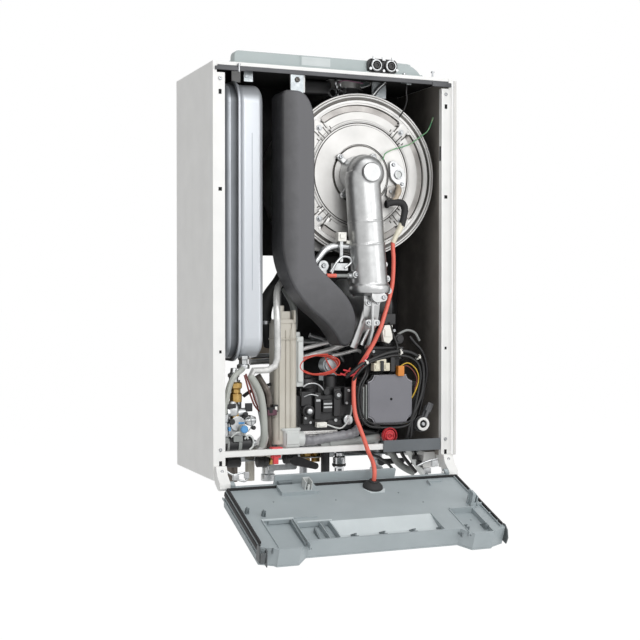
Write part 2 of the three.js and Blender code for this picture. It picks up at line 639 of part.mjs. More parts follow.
function airDuct() {
  const back = DUCT_FRONT + DUCT_DEPTH;
  const shell = inFront(ductOutline(0), DUCT_FRONT, back, 5, 5);
  const hollow = inFront(ductOutline(DUCT_WALL + 2), DUCT_FRONT + DUCT_WALL, back - DUCT_WALL, 0, 4);
  const inletX = FAN_LEFT - FIT;
  const spoutRoute = (from) => routeOf([
    [DUCT_LEFT + 104, back - from, FAN_AXIS_Z - 24], [DUCT_LEFT + 108, back + 12, FAN_AXIS_Z - 18],
    [inletX - 22, FAN_AXIS_Y - 4, FAN_AXIS_Z - 4], [inletX - 8, FAN_AXIS_Y, FAN_AXIS_Z],
    [inletX, FAN_AXIS_Y, FAN_AXIS_Z],
  ]);
  const spout = along(spoutRoute(5), INLET_R - 1, 6, 12);
  const bore = join(
    along(spoutRoute(8), INLET_R - 1 - DUCT_WALL, 6, 10),
    at(rod(INLET_R - 1 - DUCT_WALL, inletX - 6, inletX + 2, "x", 10), 0, FAN_AXIS_Y, FAN_AXIS_Z),
  );
  const mouth = block(DUCT_LEFT + 10, DUCT_LEFT + 18, DUCT_FRONT + 12, back - 12, DUCT_TOP - 12, DUCT_TOP + 1);
  return cut(join(shell, spout), join(hollow, bore, mouth));
}

add(combustion, "air_duct", airDuct(), ductGrey);

// ---------------------------------------------------------------- ignition
const IGNITION_X = DRUM_X + 69;
const IGNITION_Z = DRUM_Z + 6;
const ELECTRODE_FACE = DOOR_Y - 1 - FIT;

// Oval plate on the door with a ceramic insulator that bends down towards the boot.
function ignitionElectrode() {
  const oval = new THREE.Shape();
  oval.absellipse(0, 0, 15.5, 23, 0, 2 * Math.PI);
  const plate = inFront(oval, -5, 0, 1, 14);
  const glass = rod(6, -8, -1, "y", 12);
  const ceramic = along(routeOf([[11, -3, -15], [11, -9, -15.5], [9, -15, -22], [4, -18, -36], [2, -19, -44],
    [2, -19, -46]]), 4.2, 7);
  return join(plate, glass, ceramic);
}

const BOOT_Y = ELECTRODE_FACE - 21;

function electrodeBoot() {
  const arm = at(rod(5, -22, 8, "x", 10), 0, BOOT_Y, -57);
  const drop = along(routeOf([[2, BOOT_Y + 2, -46.5 - FIT], [2, BOOT_Y + 2, -48], [1, BOOT_Y, -58],
    [-3, BOOT_Y - 2, -80], [-8, BOOT_Y - 3, -101]]), 5.6, 6);
  const plug = along(routeOf([[-7, BOOT_Y - 3, -98], [-9, BOOT_Y - 3, -104], [-17, BOOT_Y - 3, -122],
    [-17.3, BOOT_Y - 3, -125.6]]), 4.6, 4);
  return join(arm, drop, plug);
}

const GLAND_X = 42;
const GLAND_OUT = 36; // distance of the gland from the hinge line
const GLAND_HEIGHT = 12;
const LEAD_R = 3.8;

function onHousing(x, out, height) {
  const y = HINGE_Y - out * Math.cos(TILT) - height * Math.sin(TILT);
  const z = HINGE_Z - out * Math.sin(TILT) + height * Math.cos(TILT);
  return [x, y, z];
}

// Ignition lead: from the boot past the fan and the pump, over the crossbar, to the gland.
// Offsets are [right, depth, down] from the end of the boot.
const LEAD_DROP = [
  [0.5, 0, -14], [1, -1, -28], [0, -2, -52], [-2.5, -3, -76], [-9, -5, -99], [-20, -9, -128],
  [-31, -13, -154], [-41, -11, -176], [-54, -6, -200], [-68.5, -3, -223], [-77, -4, -243],
  [-79.5, -7, -266], [-81, -13, -292], [-80, -18, -308], [-75.5, -23, -325], [-71, -29, -342],
];

const leadStart = [IGNITION_X - 17.3, BOOT_Y - 3, IGNITION_Z - 126 - FIT];
const leadRoute = routeOf([
  leadStart,
  ...LEAD_DROP.map(([x, y, z]) => [leadStart[0] + x, leadStart[1] + y, leadStart[2] + z]),
  [GLAND_X + 6, HINGE_Y - 2, 36],
  onHousing(GLAND_X + 1, GLAND_OUT, GLAND_HEIGHT + 18),
  onHousing(GLAND_X, GLAND_OUT, GLAND_HEIGHT + 8),
  onHousing(GLAND_X, GLAND_OUT, GLAND_HEIGHT + FIT),
]);

add(combustion, "ignition_electrode", ignitionElectrode(), castAluminium, IGNITION_X, ELECTRODE_FACE, IGNITION_Z);
add(combustion, "electrode_boot", electrodeBoot(), rubber, IGNITION_X, 0, IGNITION_Z);
add(combustion, "ignition_lead", along(leadRoute, LEAD_R, 42), redLead);

// ---------------------------------------------------------------- gas valve and gas line
const GAS_LEFT = FAN_RIGHT - 6;
const GAS_WIDTH = 62;
const GAS_FRONT = FRONT + 22;
const GAS_BACK = FRONT + 96;
const GAS_BOTTOM = PUMP_Z + PUMP_SIDE / 2 + 7;
const GAS_TOP = 219;
const GAS_TAP_X = RIGHT - 75;

function gasValve() {
  const body = block(GAS_LEFT, GAS_LEFT + GAS_WIDTH, GAS_FRONT + 9, GAS_BACK, GAS_BOTTOM, GAS_TOP);
  const plug = block(GAS_LEFT + 6, GAS_LEFT + 36, GAS_FRONT, GAS_FRONT + 10, GAS_BOTTOM + 6, GAS_BOTTOM + 28);
  const motor = at(rod(16, GAS_TOP - 1, GAS_TOP + 6, "z", 20), GAS_LEFT + 44, GAS_FRONT + 34, 0);
  const seat = at(rod(12, GAS_TOP - 1, FAN_AXIS_Z - MOTOR_R - FIT, "z", 20), FAN_RIGHT + 30, FAN_AXIS_Y, 0);
  const port = at(rod(11, GAS_LEFT + GAS_WIDTH - 1, GAS_LEFT + GAS_WIDTH + 7, "x", 20), 0, GAS_BACK - 20,
    GAS_BOTTOM + 20);
  return join(body, plug, motor, seat, port);
}

function gasPipe() {
  const start = GAS_LEFT + GAS_WIDTH + 7 + FIT;
  const y = GAS_BACK - 20;
  const z = GAS_BOTTOM + 20;
  return along(routeOf([
    [start, y, z], [start + 8, y, z], [start + 18, y + 8, z - 6], [start + 21, y + 40, z - 20],
    [start + 16, TAP_Y - 10, z - 46], [GAS_TAP_X, TAP_Y, z - 86], [GAS_TAP_X, TAP_Y, 70],
    [GAS_TAP_X, TAP_Y, TAP_TOP + FIT],
  ]), 8, 18);
}

add(combustion, "gas_valve", gasValve(), blackPlastic);
add(combustion, "gas_pipe", gasPipe(), steel);

// ---------------------------------------------------------------- expansion vessel
const VESSEL_RIGHT = VESSEL_LEFT + VESSEL_THICK;
const NIPPLE_X = VESSEL_LEFT + 39;
const NIPPLE_Y = VESSEL_FRONT + 22;
const NIPPLE_DROP = 5;

function expansionVessel() {
  const edge = rounded(VESSEL_FRONT, -8, VESSEL_BOTTOM, VESSEL_TOP, VESSEL_CORNER);
  const inset = rounded(VESSEL_FRONT + 6, -14, VESSEL_BOTTOM + 6, VESSEL_TOP - 6, VESSEL_CORNER - 6);
  const seam = VESSEL_LEFT + 0.45 * VESSEL_THICK;
  const halves = join(inSide(inset, VESSEL_LEFT, seam, 11), inSide(inset, seam - 1, VESSEL_RIGHT, 11));
  const ring = inSide(edge, seam - VESSEL_SEAM, seam, 0, 5);
  const nipple = at(rod(8, VESSEL_BOTTOM - NIPPLE_DROP, VESSEL_BOTTOM + 24, "z", 16), NIPPLE_X, NIPPLE_Y, 0);
  const foot = block(seam - 14, seam + 14, -16, INSIDE_BACK, VESSEL_BOTTOM + 200, VESSEL_BOTTOM + 280);
  const wall = 6 + VESSEL_WALL;
  const hollow = inSide(rounded(VESSEL_FRONT + wall, -14 - VESSEL_WALL, VESSEL_BOTTOM + wall, VESSEL_TOP - wall,
    VESSEL_CORNER - wall), VESSEL_LEFT + VESSEL_WALL, VESSEL_RIGHT - VESSEL_WALL, 10, 3);
  const bore = at(rod(4, VESSEL_BOTTOM - NIPPLE_DROP - 1, VESSEL_BOTTOM + 26, "z", 8), NIPPLE_X, NIPPLE_Y, 0);
  return cut(join(halves, ring, nipple, foot), join(hollow, bore));
}

add(hydraulics, "expansion_vessel", expansionVessel(), silverPaint);

// ---------------------------------------------------------------- pump
const PUMP_MOTOR_Y = PUMP_FACE_Y + PUMP_COVER_DEPTH + FIT;
const PUMP_BODY_Y = PUMP_MOTOR_Y + PUMP_MOTOR_LENGTH + FIT;
const PUMP_SHAFT_R = 4;

// The cover is square with its corners stepped back.
function pumpCover() {
  const half = PUMP_SIDE / 2;
  const step = 9;
  const wide = [
    [-half + step, -half], [half - step, -half], [half - step, -half + 5], [half - 2, -half + 12],
    [half, -half + 18], [half, half - 22], [half - 3, half - 14], [half - step - 3, half - 11],
    [half - step - 5, half - 3], [half - 26, half], [-half + 26, half], [-half + step + 5, half - 3],
    [-half + step + 3, half - 11], [-half + 3, half - 14], [-half, half - 22], [-half, -half + 18],
    [-half + 2, -half + 12], [-half + step, -half + 5],
  ];
  const plate = inFront(outline(wide), 0, PUMP_COVER_DEPTH, 2);
  return cut(plate, rod(2.5, -1, 6, "y", 12));
}

function pumpMotor() {
  const body = rod(PUMP_MOTOR_R, 0, PUMP_MOTOR_LENGTH, "y", 28);
  const fins = [];
  for (let i = 0; i < 5; i++) {
    const y = 6 + i * 10;
    fins.push(block(-PUMP_MOTOR_R - 5, -PUMP_MOTOR_R + 14, y, y + 4, -30, 30));
  }
  const terminal = block(PUMP_MOTOR_R - 10, PUMP_MOTOR_R + 8, 14, 44, -22, 22);
  const bore = rod(PUMP_SHAFT_R + RUN, 20, PUMP_MOTOR_LENGTH + 1, "y", 12);
  return cut(join(body, ...fins, terminal), bore);
}

function pumpHousing() {
  const depth = PUMP_BODY_DEPTH;
  const body = turned([[0, 0], [44, 0], [44, 8], [40, 12], [40, depth - 8], [34, depth], [0, depth]], "y");
  const chamber = turned([
    [0, -1], [PUMP_SHAFT_R + 6, -1], [PUMP_SHAFT_R + 6, 9], [PUMP_IMPELLER_R + 4, 9],
    [PUMP_IMPELLER_R + 4, 31], [0, 31],
  ], "y", 20);
  const port = at(rod(15, -(PUMP_X - BLOCK_RIGHT) + FIT, -30, "x"), 0, 30, 0);
  const portBore = at(rod(9, -(PUMP_X - BLOCK_RIGHT) - 1, -21, "x", 12), 0, 20.5, 0);
  const outlet = at(rod(12, 30, 58, "x", 14), 0, 34, -18);
  return cut(join(body, port, outlet), join(chamber, portBore));
}

function pumpImpeller() {
  const shaft = rod(PUMP_SHAFT_R, -36, 13, "y", 12);
  const disc = rod(PUMP_IMPELLER_R, 12, 15, "y", 18);
  const shroud = pipeRing(PUMP_IMPELLER_R, 12, 25, 27, "y", 18);
  const vanes = [];
  const count = 5;
  for (let i = 0; i < count; i++) {
    const vane = block(-1, 1, 14, 26, 6, PUMP_IMPELLER_R - 1);
    vanes.push(vane.rotateY((i / count) * 2 * Math.PI));
  }
  const boss = rod(8, 12, 20, "y", 12);
  return join(shaft, disc, shroud, boss, ...vanes);
}

add(hydraulics, "pump_cover", pumpCover(), pumpGrey, PUMP_X, PUMP_FACE_Y, PUMP_Z);
add(hydraulics, "pump_motor", pumpMotor(), blackPlastic, PUMP_X, PUMP_MOTOR_Y, PUMP_Z);
add(hydraulics, "pump_housing", pumpHousing(), blackPlastic, PUMP_X, PUMP_BODY_Y, PUMP_Z);
add(hydraulics, "pump_impeller", pumpImpeller(), steel, PUMP_X, PUMP_BODY_Y, PUMP_Z);

// ---------------------------------------------------------------- hydraulic block and plate exchanger
const BLOCK_BACK = BLOCK_FRONT + BLOCK_DEPTH;
const COLD_X = 30;
const RETURN_X = 0;
const PACK_TOP = BLOCK_BOTTOM - FIT;
const PACK_BOTTOM = BAR_Z + BAR + FIT;
const PACK_PLATES = 8;
const DRAIN_TUBE_X = -105; // condensate tube through the connection plate
const DRAIN_TUBE_R = 9;

function hydraulicBlock() {
  const body = block(BLOCK_LEFT, BLOCK_RIGHT, BLOCK_FRONT, BLOCK_BACK, BLOCK_BOTTOM, BLOCK_TOP - 14);
  const bonnet = at(rod(16, BLOCK_TOP - 15, BLOCK_TOP + 10, "z", 24), BLOCK_LEFT + 30, BLOCK_FRONT + 26, 0);
  const tower = block(BLOCK_LEFT + 54, BLOCK_RIGHT - 8, BLOCK_FRONT + 6, BLOCK_BACK - 10, BLOCK_TOP - 15, BLOCK_TOP);
  const cold = at(rod(8, TAP_BOTTOM + 4, BLOCK_BOTTOM + 1, "z", 16), COLD_X, BLOCK_BACK - 4, 0);
  const lug = block(BLOCK_LEFT + 10, BLOCK_LEFT + 40, BLOCK_BACK - 1, BLOCK_BACK + 20, BLOCK_BOTTOM, BLOCK_BOTTOM + 14);
  return join(body, bonnet, tower, cold, lug);
}

function plateExchanger() {
  const plates = [];
  const pitch = (PACK_TOP - PACK_BOTTOM) / PACK_PLATES;
  for (let i = 0; i < PACK_PLATES; i++) {
    const z = PACK_BOTTOM + i * pitch;
    const grow = i % 2 ? 0 : 2;
    plates.push(block(BLOCK_LEFT - 2 - grow, 14 + grow, BLOCK_FRONT - 4 - grow, BLOCK_BACK - 20 + grow, z,
      z + pitch + 0.01));
  }
  return join(...plates);
}

add(hydraulics, "hydraulic_block", hydraulicBlock(), blackPlastic);
add(hydraulics, "plate_heat_exchanger", plateExchanger(), stainless);

// ---------------------------------------------------------------- siphon
function siphonTrap() {
  const left = SIPHON_LEFT;
  const right = left + SIPHON_WIDTH;
  const back = SIPHON_FRONT + SIPHON_DEPTH;
  const middle = left + SIPHON_WIDTH / 2;
  const tank = inPlan(rounded(left, right, SIPHON_FRONT, back, 9), SIPHON_BOTTOM, SIPHON_TOP, 2);
  const belly = inPlan(rounded(left - 2, right, SIPHON_FRONT, back + 4, 11), SIPHON_BOTTOM, SIPHON_BOTTOM + 46, 0, 3);
  const rib = block(right - 14, right - 11, SIPHON_FRONT - 2, SIPHON_FRONT + 2, SIPHON_BOTTOM + 8, SIPHON_TOP - 10);
  const neck = at(rod(11, SIPHON_TOP - 1, SIPHON_TOP + 16, "z", 16), middle + 4, back - 14, 0);
  const outlet = along(routeOf([
    [middle, back - 14, SIPHON_BOTTOM + 8], [middle, back - 14, 42], [middle - 4, back, 33],
    [DRAIN_TUBE_X + 6, TAP_Y - 26, 32], [DRAIN_TUBE_X, TAP_Y - 3, 27], [DRAIN_TUBE_X, TAP_Y, 18],
    [DRAIN_TUBE_X, TAP_Y, 6], [DRAIN_TUBE_X, TAP_Y, TAP_BOTTOM + 2],
  ]), DRAIN_TUBE_R, 12);
  return join(tank, belly, rib, neck, outlet);
}

add(hydraulics, "siphon_trap", siphonTrap(), siphonBeige);

// ---------------------------------------------------------------- bottom connections
const FLOW_X = -70;
const HOT_X = -140;
const LEVER_REACH = 48;
const CONNECTIONS = [
  [HOT_X, TAP_Y, 11], [DRAIN_TUBE_X, TAP_Y, DRAIN_TUBE_R], [FLOW_X, TAP_Y, 11], [RETURN_X, TAP_Y, 11],
  [COLD_X, BLOCK_BACK - 4, 8], [GAS_TAP_X, TAP_Y, 11],
];

function connectionPlate() {
  const sheet = block(-PANEL_EDGE, PANEL_EDGE, TAP_Y - PLATE_REACH, INSIDE_BACK, PLATE_Z, PLATE_Z + SHEET);
  const fold = block(-PANEL_EDGE, PANEL_EDGE, INSIDE_BACK - SHEET, INSIDE_BACK, PLATE_Z, PLATE_Z + 22);
  const stand = block(BLOCK_LEFT + 13, BLOCK_LEFT + 37, BLOCK_BACK + 4, BLOCK_BACK + 4 + SHEET, PLATE_Z,
    BLOCK_BOTTOM - FIT);
  const holes = CONNECTIONS.map(([x, y, r]) => at(rod(r + 2 * FIT, PLATE_Z - 1, PLATE_Z + SHEET + 1, "z"), x, y, 0));
  return cut(join(sheet, fold, stand), ...holes);
}

// Isolating valve: a body through the plate, with a collar on top of it and a flat bottom face.
function isolator() {
  const body = turned([
    [0, TAP_BOTTOM], [TAP_R, TAP_BOTTOM], [TAP_R, TAP_BOTTOM + 12], [11, TAP_BOTTOM + 13], [11, PLATE_Z + SHEET + FIT],
    [TAP_R + 2, PLATE_Z + SHEET + FIT], [TAP_R + 2, PLATE_Z + 9], [10, PLATE_Z + 10], [10, TAP_TOP], [0, TAP_TOP],
  ], "z", 16);
  const boss = at(rod(6, -18, 0, "y", 12), 0, 0, -4);
  const bore = rod(6, TAP_BOTTOM - 1, TAP_BOTTOM + 16, "z", 12);
  return cut(join(body, boss), bore);
}

function isolatorLever() {
  const hub = rod(7, -6, 0, "y", 16);
  const arm = inFront(rounded(-7, LEVER_REACH, -5, 5, 4.5), -6, -2, 0, 3);
  return join(hub, arm);
}

const LEVER_Y = TAP_Y - 18 - FIT;
add(hydraulics, "connection_plate", connectionPlate(), galvanised);
add(hydraulics, "flow_isolator", isolator(), brass, FLOW_X, TAP_Y, 0);
add(hydraulics, "flow_isolator_lever", isolatorLever(), blackPlastic, FLOW_X, LEVER_Y, -4);
add(hydraulics, "gas_isolator", isolator(), brass, GAS_TAP_X, TAP_Y, 0);
add(hydraulics, "gas_isolator_lever", isolatorLever(), blackPlastic, GAS_TAP_X, LEVER_Y, -4);

// ---------------------------------------------------------------- pipes and hoses
const PIPE_FRONT = FRONT + 20; // plane of the pipes beside the siphon
const FLOW_ANGLE = THREE.MathUtils.degToRad(213); // where the flow pipe meets the drum

function onDrum(distance) {
  const r = DRUM_R + distance;
  return [DRUM_X + r * Math.sin(FLOW_ANGLE), FRONT + 100, DRUM_Z + r * Math.cos(FLOW_ANGLE)];
}

// From the underside of the drum, behind the duct, down beside the siphon, round to the left and down.
function flowPipe() {
  const x = SIPHON_LEFT + 3;
  const drop = (DIVERTER_END + SIPHON_LEFT - 1) / 2; // half-way between the diverter and the siphon
  return along(routeOf([
    onDrum(0.5), onDrum(14), onDrum(34), [x + 27, DOOR_Y + 12, DUCT_TURN - 46], [x + 14, DOOR_Y + 5, DUCT_TURN - 60],
    [x + 3, DOOR_Y - 15, DUCT_TURN - 80], [x - 1, PIPE_FRONT, DUCT_TURN - 108], [x, PIPE_FRONT, 236],
    [x, PIPE_FRONT, 207], [x - 2, PIPE_FRONT, 193], [x - 10, PIPE_FRONT, 184], [drop + 1, PIPE_FRONT, 181],
    [drop - 17, PIPE_FRONT, 182], [drop - 25, PIPE_FRONT, 176], [drop - 22, PIPE_FRONT, 164],
    [drop - 15, PIPE_FRONT, 146], [drop - 9, PIPE_FRONT, 127], [drop - 4, PIPE_FRONT, 106],
    [drop, PIPE_FRONT, 84], [drop + 2, PIPE_FRONT, 62], [drop + 2, PIPE_FRONT + 14, 50],
    [drop + 6, PIPE_FRONT + 50, 48], [FLOW_X - 26, TAP_Y - 44, 54],
    [FLOW_X - 6, TAP_Y - 10, 57], [FLOW_X, TAP_Y, 50], [FLOW_X, TAP_Y, TAP_TOP + FIT],
  ]), PIPE_R, 46);
}

function returnPipe() {
  const y = BLOCK_BACK + FIT;
  return along(routeOf([
    [RETURN_X, y, 122], [RETURN_X, y + 8, 122], [RETURN_X, y + 24, 114], [RETURN_X, TAP_Y, 96],
    [RETURN_X, TAP_Y, 40], [RETURN_X, TAP_Y, TAP_BOTTOM + 2],
  ]), PIPE_R + 1.5, 16, 10);
}

const FILL_X = LEFT + 53;
const FILL_Y = VESSEL_FRONT + 21;
const FILL_BASE = 70;
const FILL_TOP = 165;
const HOSE_X = LEFT + 27;
const HOSE_Y = FRONT + 20;
const HOSE_END = 102;

function vesselHose() {
  const top = VESSEL_BOTTOM - NIPPLE_DROP - FIT;
  return along(routeOf([
    [NIPPLE_X, NIPPLE_Y, top], [NIPPLE_X, NIPPLE_Y, top - 3], [NIPPLE_X - 8, NIPPLE_Y - 12, top - 9],
    [NIPPLE_X - 22, HOSE_Y - 6, top - 16], [HOSE_X + 7, HOSE_Y - 5, top - 32], [HOSE_X + 2, HOSE_Y - 3, top - 56],
    [HOSE_X, HOSE_Y, HOSE_END + 12], [HOSE_X, HOSE_Y, HOSE_END],
  ]), 5, 18);
}

const DIVERTER_R = 12.5;
const DIVERTER_Z = FILL_BASE - FIT - DIVERTER_R;
const DIVERTER_Y = FRONT + 25;
const DIVERTER_END = LEFT + 76;
const SPINDLE_R = 4;

// The filling valve sits on the diverter's motor; its knob faces the front.
function fillValve() {
  const body = block(FILL_X - 32, FILL_X + 10, FILL_Y - 15, FILL_Y + 5, FILL_BASE, FILL_BASE + 24);
  const stem = at(rod(8, FILL_BASE + 20, FILL_BASE + 58, "z", 16), FILL_X, FILL_Y, 0);
  const tip = at(rod(6, FILL_BASE + 55, FILL_TOP, "z", 14), FILL_X, FILL_Y, 0);
  const tail = at(rod(6.5, FILL_BASE + 2, HOSE_END - FIT, "z", 14), HOSE_X, HOSE_Y, 0);
  const spindle = at(rod(5, FILL_Y - 20, FILL_Y - 10, "y", 14), FILL_X + 3, 0, FILL_BASE + 13);
  return join(body, stem, tip, tail, spindle);
}

function fillKnob() {
  return turned([[0, -12], [6, -12], [7.5, -9.5], [7.5, -3], [6, 0], [0, 0]], "y", 16);
}

function diverterMotor() {
  const wall = LEFT + SHEET + FIT;
  const body = turned([
    [0, wall], [DIVERTER_R, wall], [DIVERTER_R, DIVERTER_END - 4], [DIVERTER_R - 4, DIVERTER_END], [0, DIVERTER_END],
  ], "x", 24);
  const bore = rod(SPINDLE_R + RUN, DIVERTER_END - 24, DIVERTER_END + 1, "x", 12);
  return at(cut(body, bore), 0, DIVERTER_Y, DIVERTER_Z);
}

function diverterSpindle() {
  return join(rod(SPINDLE_R, -18, 6, "x", 12), rod(5.5, 2, 7, "x", 12));
}

// Hot water: black hose behind the flow pipe, a clamp, then a chromed tube down to its connection.
function hotWaterPipe() {
  const x = SIPHON_LEFT - 10;
  const y = FRONT + 30;
  const hose = along(routeOf([
    [x - 18, y + 8, 172], [x - 11, y + 3, 158], [x - 3, y, 145], [x, y, 128], [x, y, 112], [x, y, 106],
  ]), 6.5, 8);
  const tube = along(routeOf([
    [x, y, 110], [x + 1, y, 85], [x + 2, y, 60], [x + 2, y + 3, 46], [x, y + 14, 36], [x - 5, y + 50, 30],
    [HOT_X + 6, TAP_Y - 30, 30], [HOT_X, TAP_Y - 8, 26], [HOT_X, TAP_Y, 14], [HOT_X, TAP_Y, TAP_BOTTOM + 2],
  ]), 4.5, 20);
  const clamp = at(rod(7.5, 108, 122, "z", 14), x, y, 0);
  const union = at(rod(11, TAP_BOTTOM + 2, 20, "z", 14), HOT_X, TAP_Y, 0);
  return join(hose, tube, clamp, union);
}

add(hydraulics, "flow_pipe", flowPipe(), stainless);
add(hydraulics, "return_pipe", returnPipe(), steel);
add(hydraulics, "vessel_hose", vesselHose(), hoseGrey);
add(hydraulics, "fill_valve", fillValve(), brass);
add(hydraulics, "fill_knob", fillKnob(), hoseGrey, FILL_X + 3, FILL_Y - 20 - FIT, FILL_BASE + 13);
add(hydraulics, "diverter_motor", diverterMotor(), blackPlastic);
add(hydraulics, "diverter_spindle", diverterSpindle(), steel, DIVERTER_END, DIVERTER_Y, DIVERTER_Z);
add(hydraulics, "hot_water_pipe", hotWaterPipe(), chrome);

// ---------------------------------------------------------------- relief valve and drain valve
const RELIEF_X = PUMP_X - 4;
const RELIEF_Z = 60.5;
const KNOB_R = 11;
const KNOB_FRONT = FRONT + 8;
const DRAIN_X = RIGHT - 50;
const DRAIN_Z = 78;
const RING_R = 11.5;

function reliefValve() {
  const back = PUMP_BODY_Y + 30;
  const barrel = at(turned([
    [0, KNOB_FRONT + 15], [9, KNOB_FRONT + 15], [9, KNOB_FRONT + 30], [12, KNOB_FRONT + 32], [12, back], [0, back],
  ], "y", 20), RELIEF_X, 0, RELIEF_Z);
  const riser = at(rod(9, RELIEF_Z, PUMP_Z - 44 - FIT, "z", 20), RELIEF_X, PUMP_BODY_Y + 20, 0);
  return join(barrel, riser);
}

function reliefKnob() {
  const grip = turned([[0, 0], [KNOB_R - 2, 0], [KNOB_R, 3], [KNOB_R, 12], [KNOB_R - 2, 14.5], [0, 14.5]], "y", 24);
  const slot = block(-KNOB_R + 4, KNOB_R - 4, -1, 2, -1.5, 1.5);
  return cut(grip, slot);
}

function drainValve() {
  const y0 = PUMP_FACE_Y + 10;
  const barrel = at(rod(11, y0, y0 + 40, "y", 20), DRAIN_X, 0, DRAIN_Z);
  const pipe = along(routeOf([
    [DRAIN_X, y0 + 38, DRAIN_Z], [DRAIN_X, y0 + 66, DRAIN_Z + 4], [DRAIN_X - 1, PUMP_BODY_Y + 20, DRAIN_Z + 16],
    [PUMP_X + 66, PUMP_BODY_Y + 34, PUMP_Z - 18], [PUMP_X + 58 + FIT, PUMP_BODY_Y + 34, PUMP_Z - 18],
  ]), 7, 12);
  return join(barrel, pipe);
}

function drainLever() {
  const ring = pipeRing(RING_R, 6, -8, 0, "y", 24);
  const web = rod(7, -4, -0.5, "y");
  const arm = block(-4.5, 4.5, -5, -1, 8, 34);
  return join(ring, web, arm.rotateY(THREE.MathUtils.degToRad(20)));
}

add(hydraulics, "relief_valve", reliefValve(), brass);
add(hydraulics, "relief_knob", reliefKnob(), redPlastic, RELIEF_X, KNOB_FRONT, RELIEF_Z);
add(hydraulics, "drain_valve", drainValve(), brass);
add(hydraulics, "drain_lever", drainLever(), white, DRAIN_X, PUMP_FACE_Y + 10 - FIT, DRAIN_Z);

// ---------------------------------------------------------------- leads inside the casing
// Loom from the gas valve's plug, round the left and underneath of the pump, to the pump's terminal.
function wiringLoom() {
  const y = PUMP_FACE_Y - 3;
  const left = PUMP_X - PUMP_SIDE / 2 - 14;
  const right = PUMP_X + PUMP_SIDE / 2 + 12;
  const under = PUMP_Z - PUMP_SIDE / 2 - 4.5;
  return along(routeOf([
    [GAS_LEFT + 6 - 2 * FIT, GAS_FRONT + 5, GAS_BOTTOM + 16], [GAS_LEFT - 4, GAS_FRONT + 5, GAS_BOTTOM + 16],
    [left + 8, y + 2, GAS_BOTTOM - 4], [left - 4, y, PUMP_Z + 26], [left - 6, y, PUMP_Z - 4], [left, y, under + 16],
    [left + 14, y, under + 3], [PUMP_X - 20, y, under], [PUMP_X + 24, y, under], [right - 14, y + 4, under + 6],
    [right, y + 12, PUMP_Z - 26], [right + 2, y + 30, PUMP_Z - 10],
    [PUMP_X + PUMP_MOTOR_R + 14, PUMP_MOTOR_Y + 29, PUMP_Z],
    [PUMP_X + PUMP_MOTOR_R + 8 + FIT, PUMP_MOTOR_Y + 29, PUMP_Z],
  ]), 3, 32, 6);
}

// Spare length of the sensor lead, tied in flat loops over the hydraulic block, against the siphon.
const LOOP_HIGH = 19;
const LOOP_STEP = 5.6;
const LOOP_TURNS = 2;
const LOOP_LEAD_R = 2;
const LOOP_X = -10;
const LOOP_WIDE = LOOP_X - SIPHON_LEFT - SIPHON_WIDTH - LOOP_LEAD_R - FIT; // the loops lean on the siphon

class LoopCurve extends THREE.Curve {
  getPoint(t, target = new THREE.Vector3()) {
    const angle = 2 * Math.PI * LOOP_TURNS * t + Math.PI / 2;
    const y = LOOP_STEP * LOOP_TURNS * t;
    return target.set(LOOP_WIDE * Math.cos(angle), y, LOOP_HIGH * Math.sin(angle));
  }
}

function leastSelfGap(curve, radius, turns) {
  const perTurn = 48;
  const points = curve.getPoints(perTurn * turns);
  let least = Infinity;
  points.forEach((a, i) => {
    for (let j = i + perTurn / 2; j < points.length; j++) least = Math.min(least, a.distanceTo(points[j]));
  });
  return least - 2 * radius;
}

const loop = new LoopCurve();
console.log("sensor lead, least gap to itself:", leastSelfGap(loop, LOOP_LEAD_R, LOOP_TURNS).toFixed(2), "mm");
const coilCurve = new CoilCurve(DRUM_R - DRUM_WALL - COIL_TUBE_R - 3 * FIT, COIL_PITCH, COIL_TURNS);
console.log("exchanger coil, least gap to itself:", leastSelfGap(coilCurve, COIL_TUBE_R, COIL_TURNS).toFixed(2), "mm");

add(hydraulics, "wiring_loom", wiringLoom(), blackPlastic);
add(hydraulics, "sensor_lead", along(loop, LOOP_LEAD_R, 24 * LOOP_TURNS, 6), redPlastic, LOOP_X, BLOCK_FRONT - 5,
  BLOCK_TOP + 40);

// ---------------------------------------------------------------- control housing
// Local frame: the hinge line is the origin, the housing lies along -Y, its inner face at z = 0.
const HALF_WIDTH = HOUSING_WIDTH / 2;
const CORNER_X = HALF_WIDTH - 23;
const RECESS_X = HALF_WIDTH - 81;
const BOARD_X = HALF_WIDTH - 35;
const STEP_Y = -HOUSING_LENGTH + 72; // where the pockets at the far edge start
const STEP_END = -HOUSING_LENGTH + RECESS + 3;
const EAR_X = RIGHT - FLANGE - RUN - EAR_THICK / 2;

function housingOutline(inset, rear) {
  const end = -(HOUSING_LENGTH - inset);
  const recess = end + RECESS;
  const side = HALF_WIDTH - inset;
  const points = [[side, -rear], [side, end + 12], [CORNER_X - inset, end + 4], [CORNER_X - inset - 4, end],
    [RECESS_X + 18 + inset, end], [RECESS_X + inset, recess]];
  const mirrored = points.map(([x, y]) => [-x, y]).reverse();
  return outline([...points, ...mirrored].reverse());
}

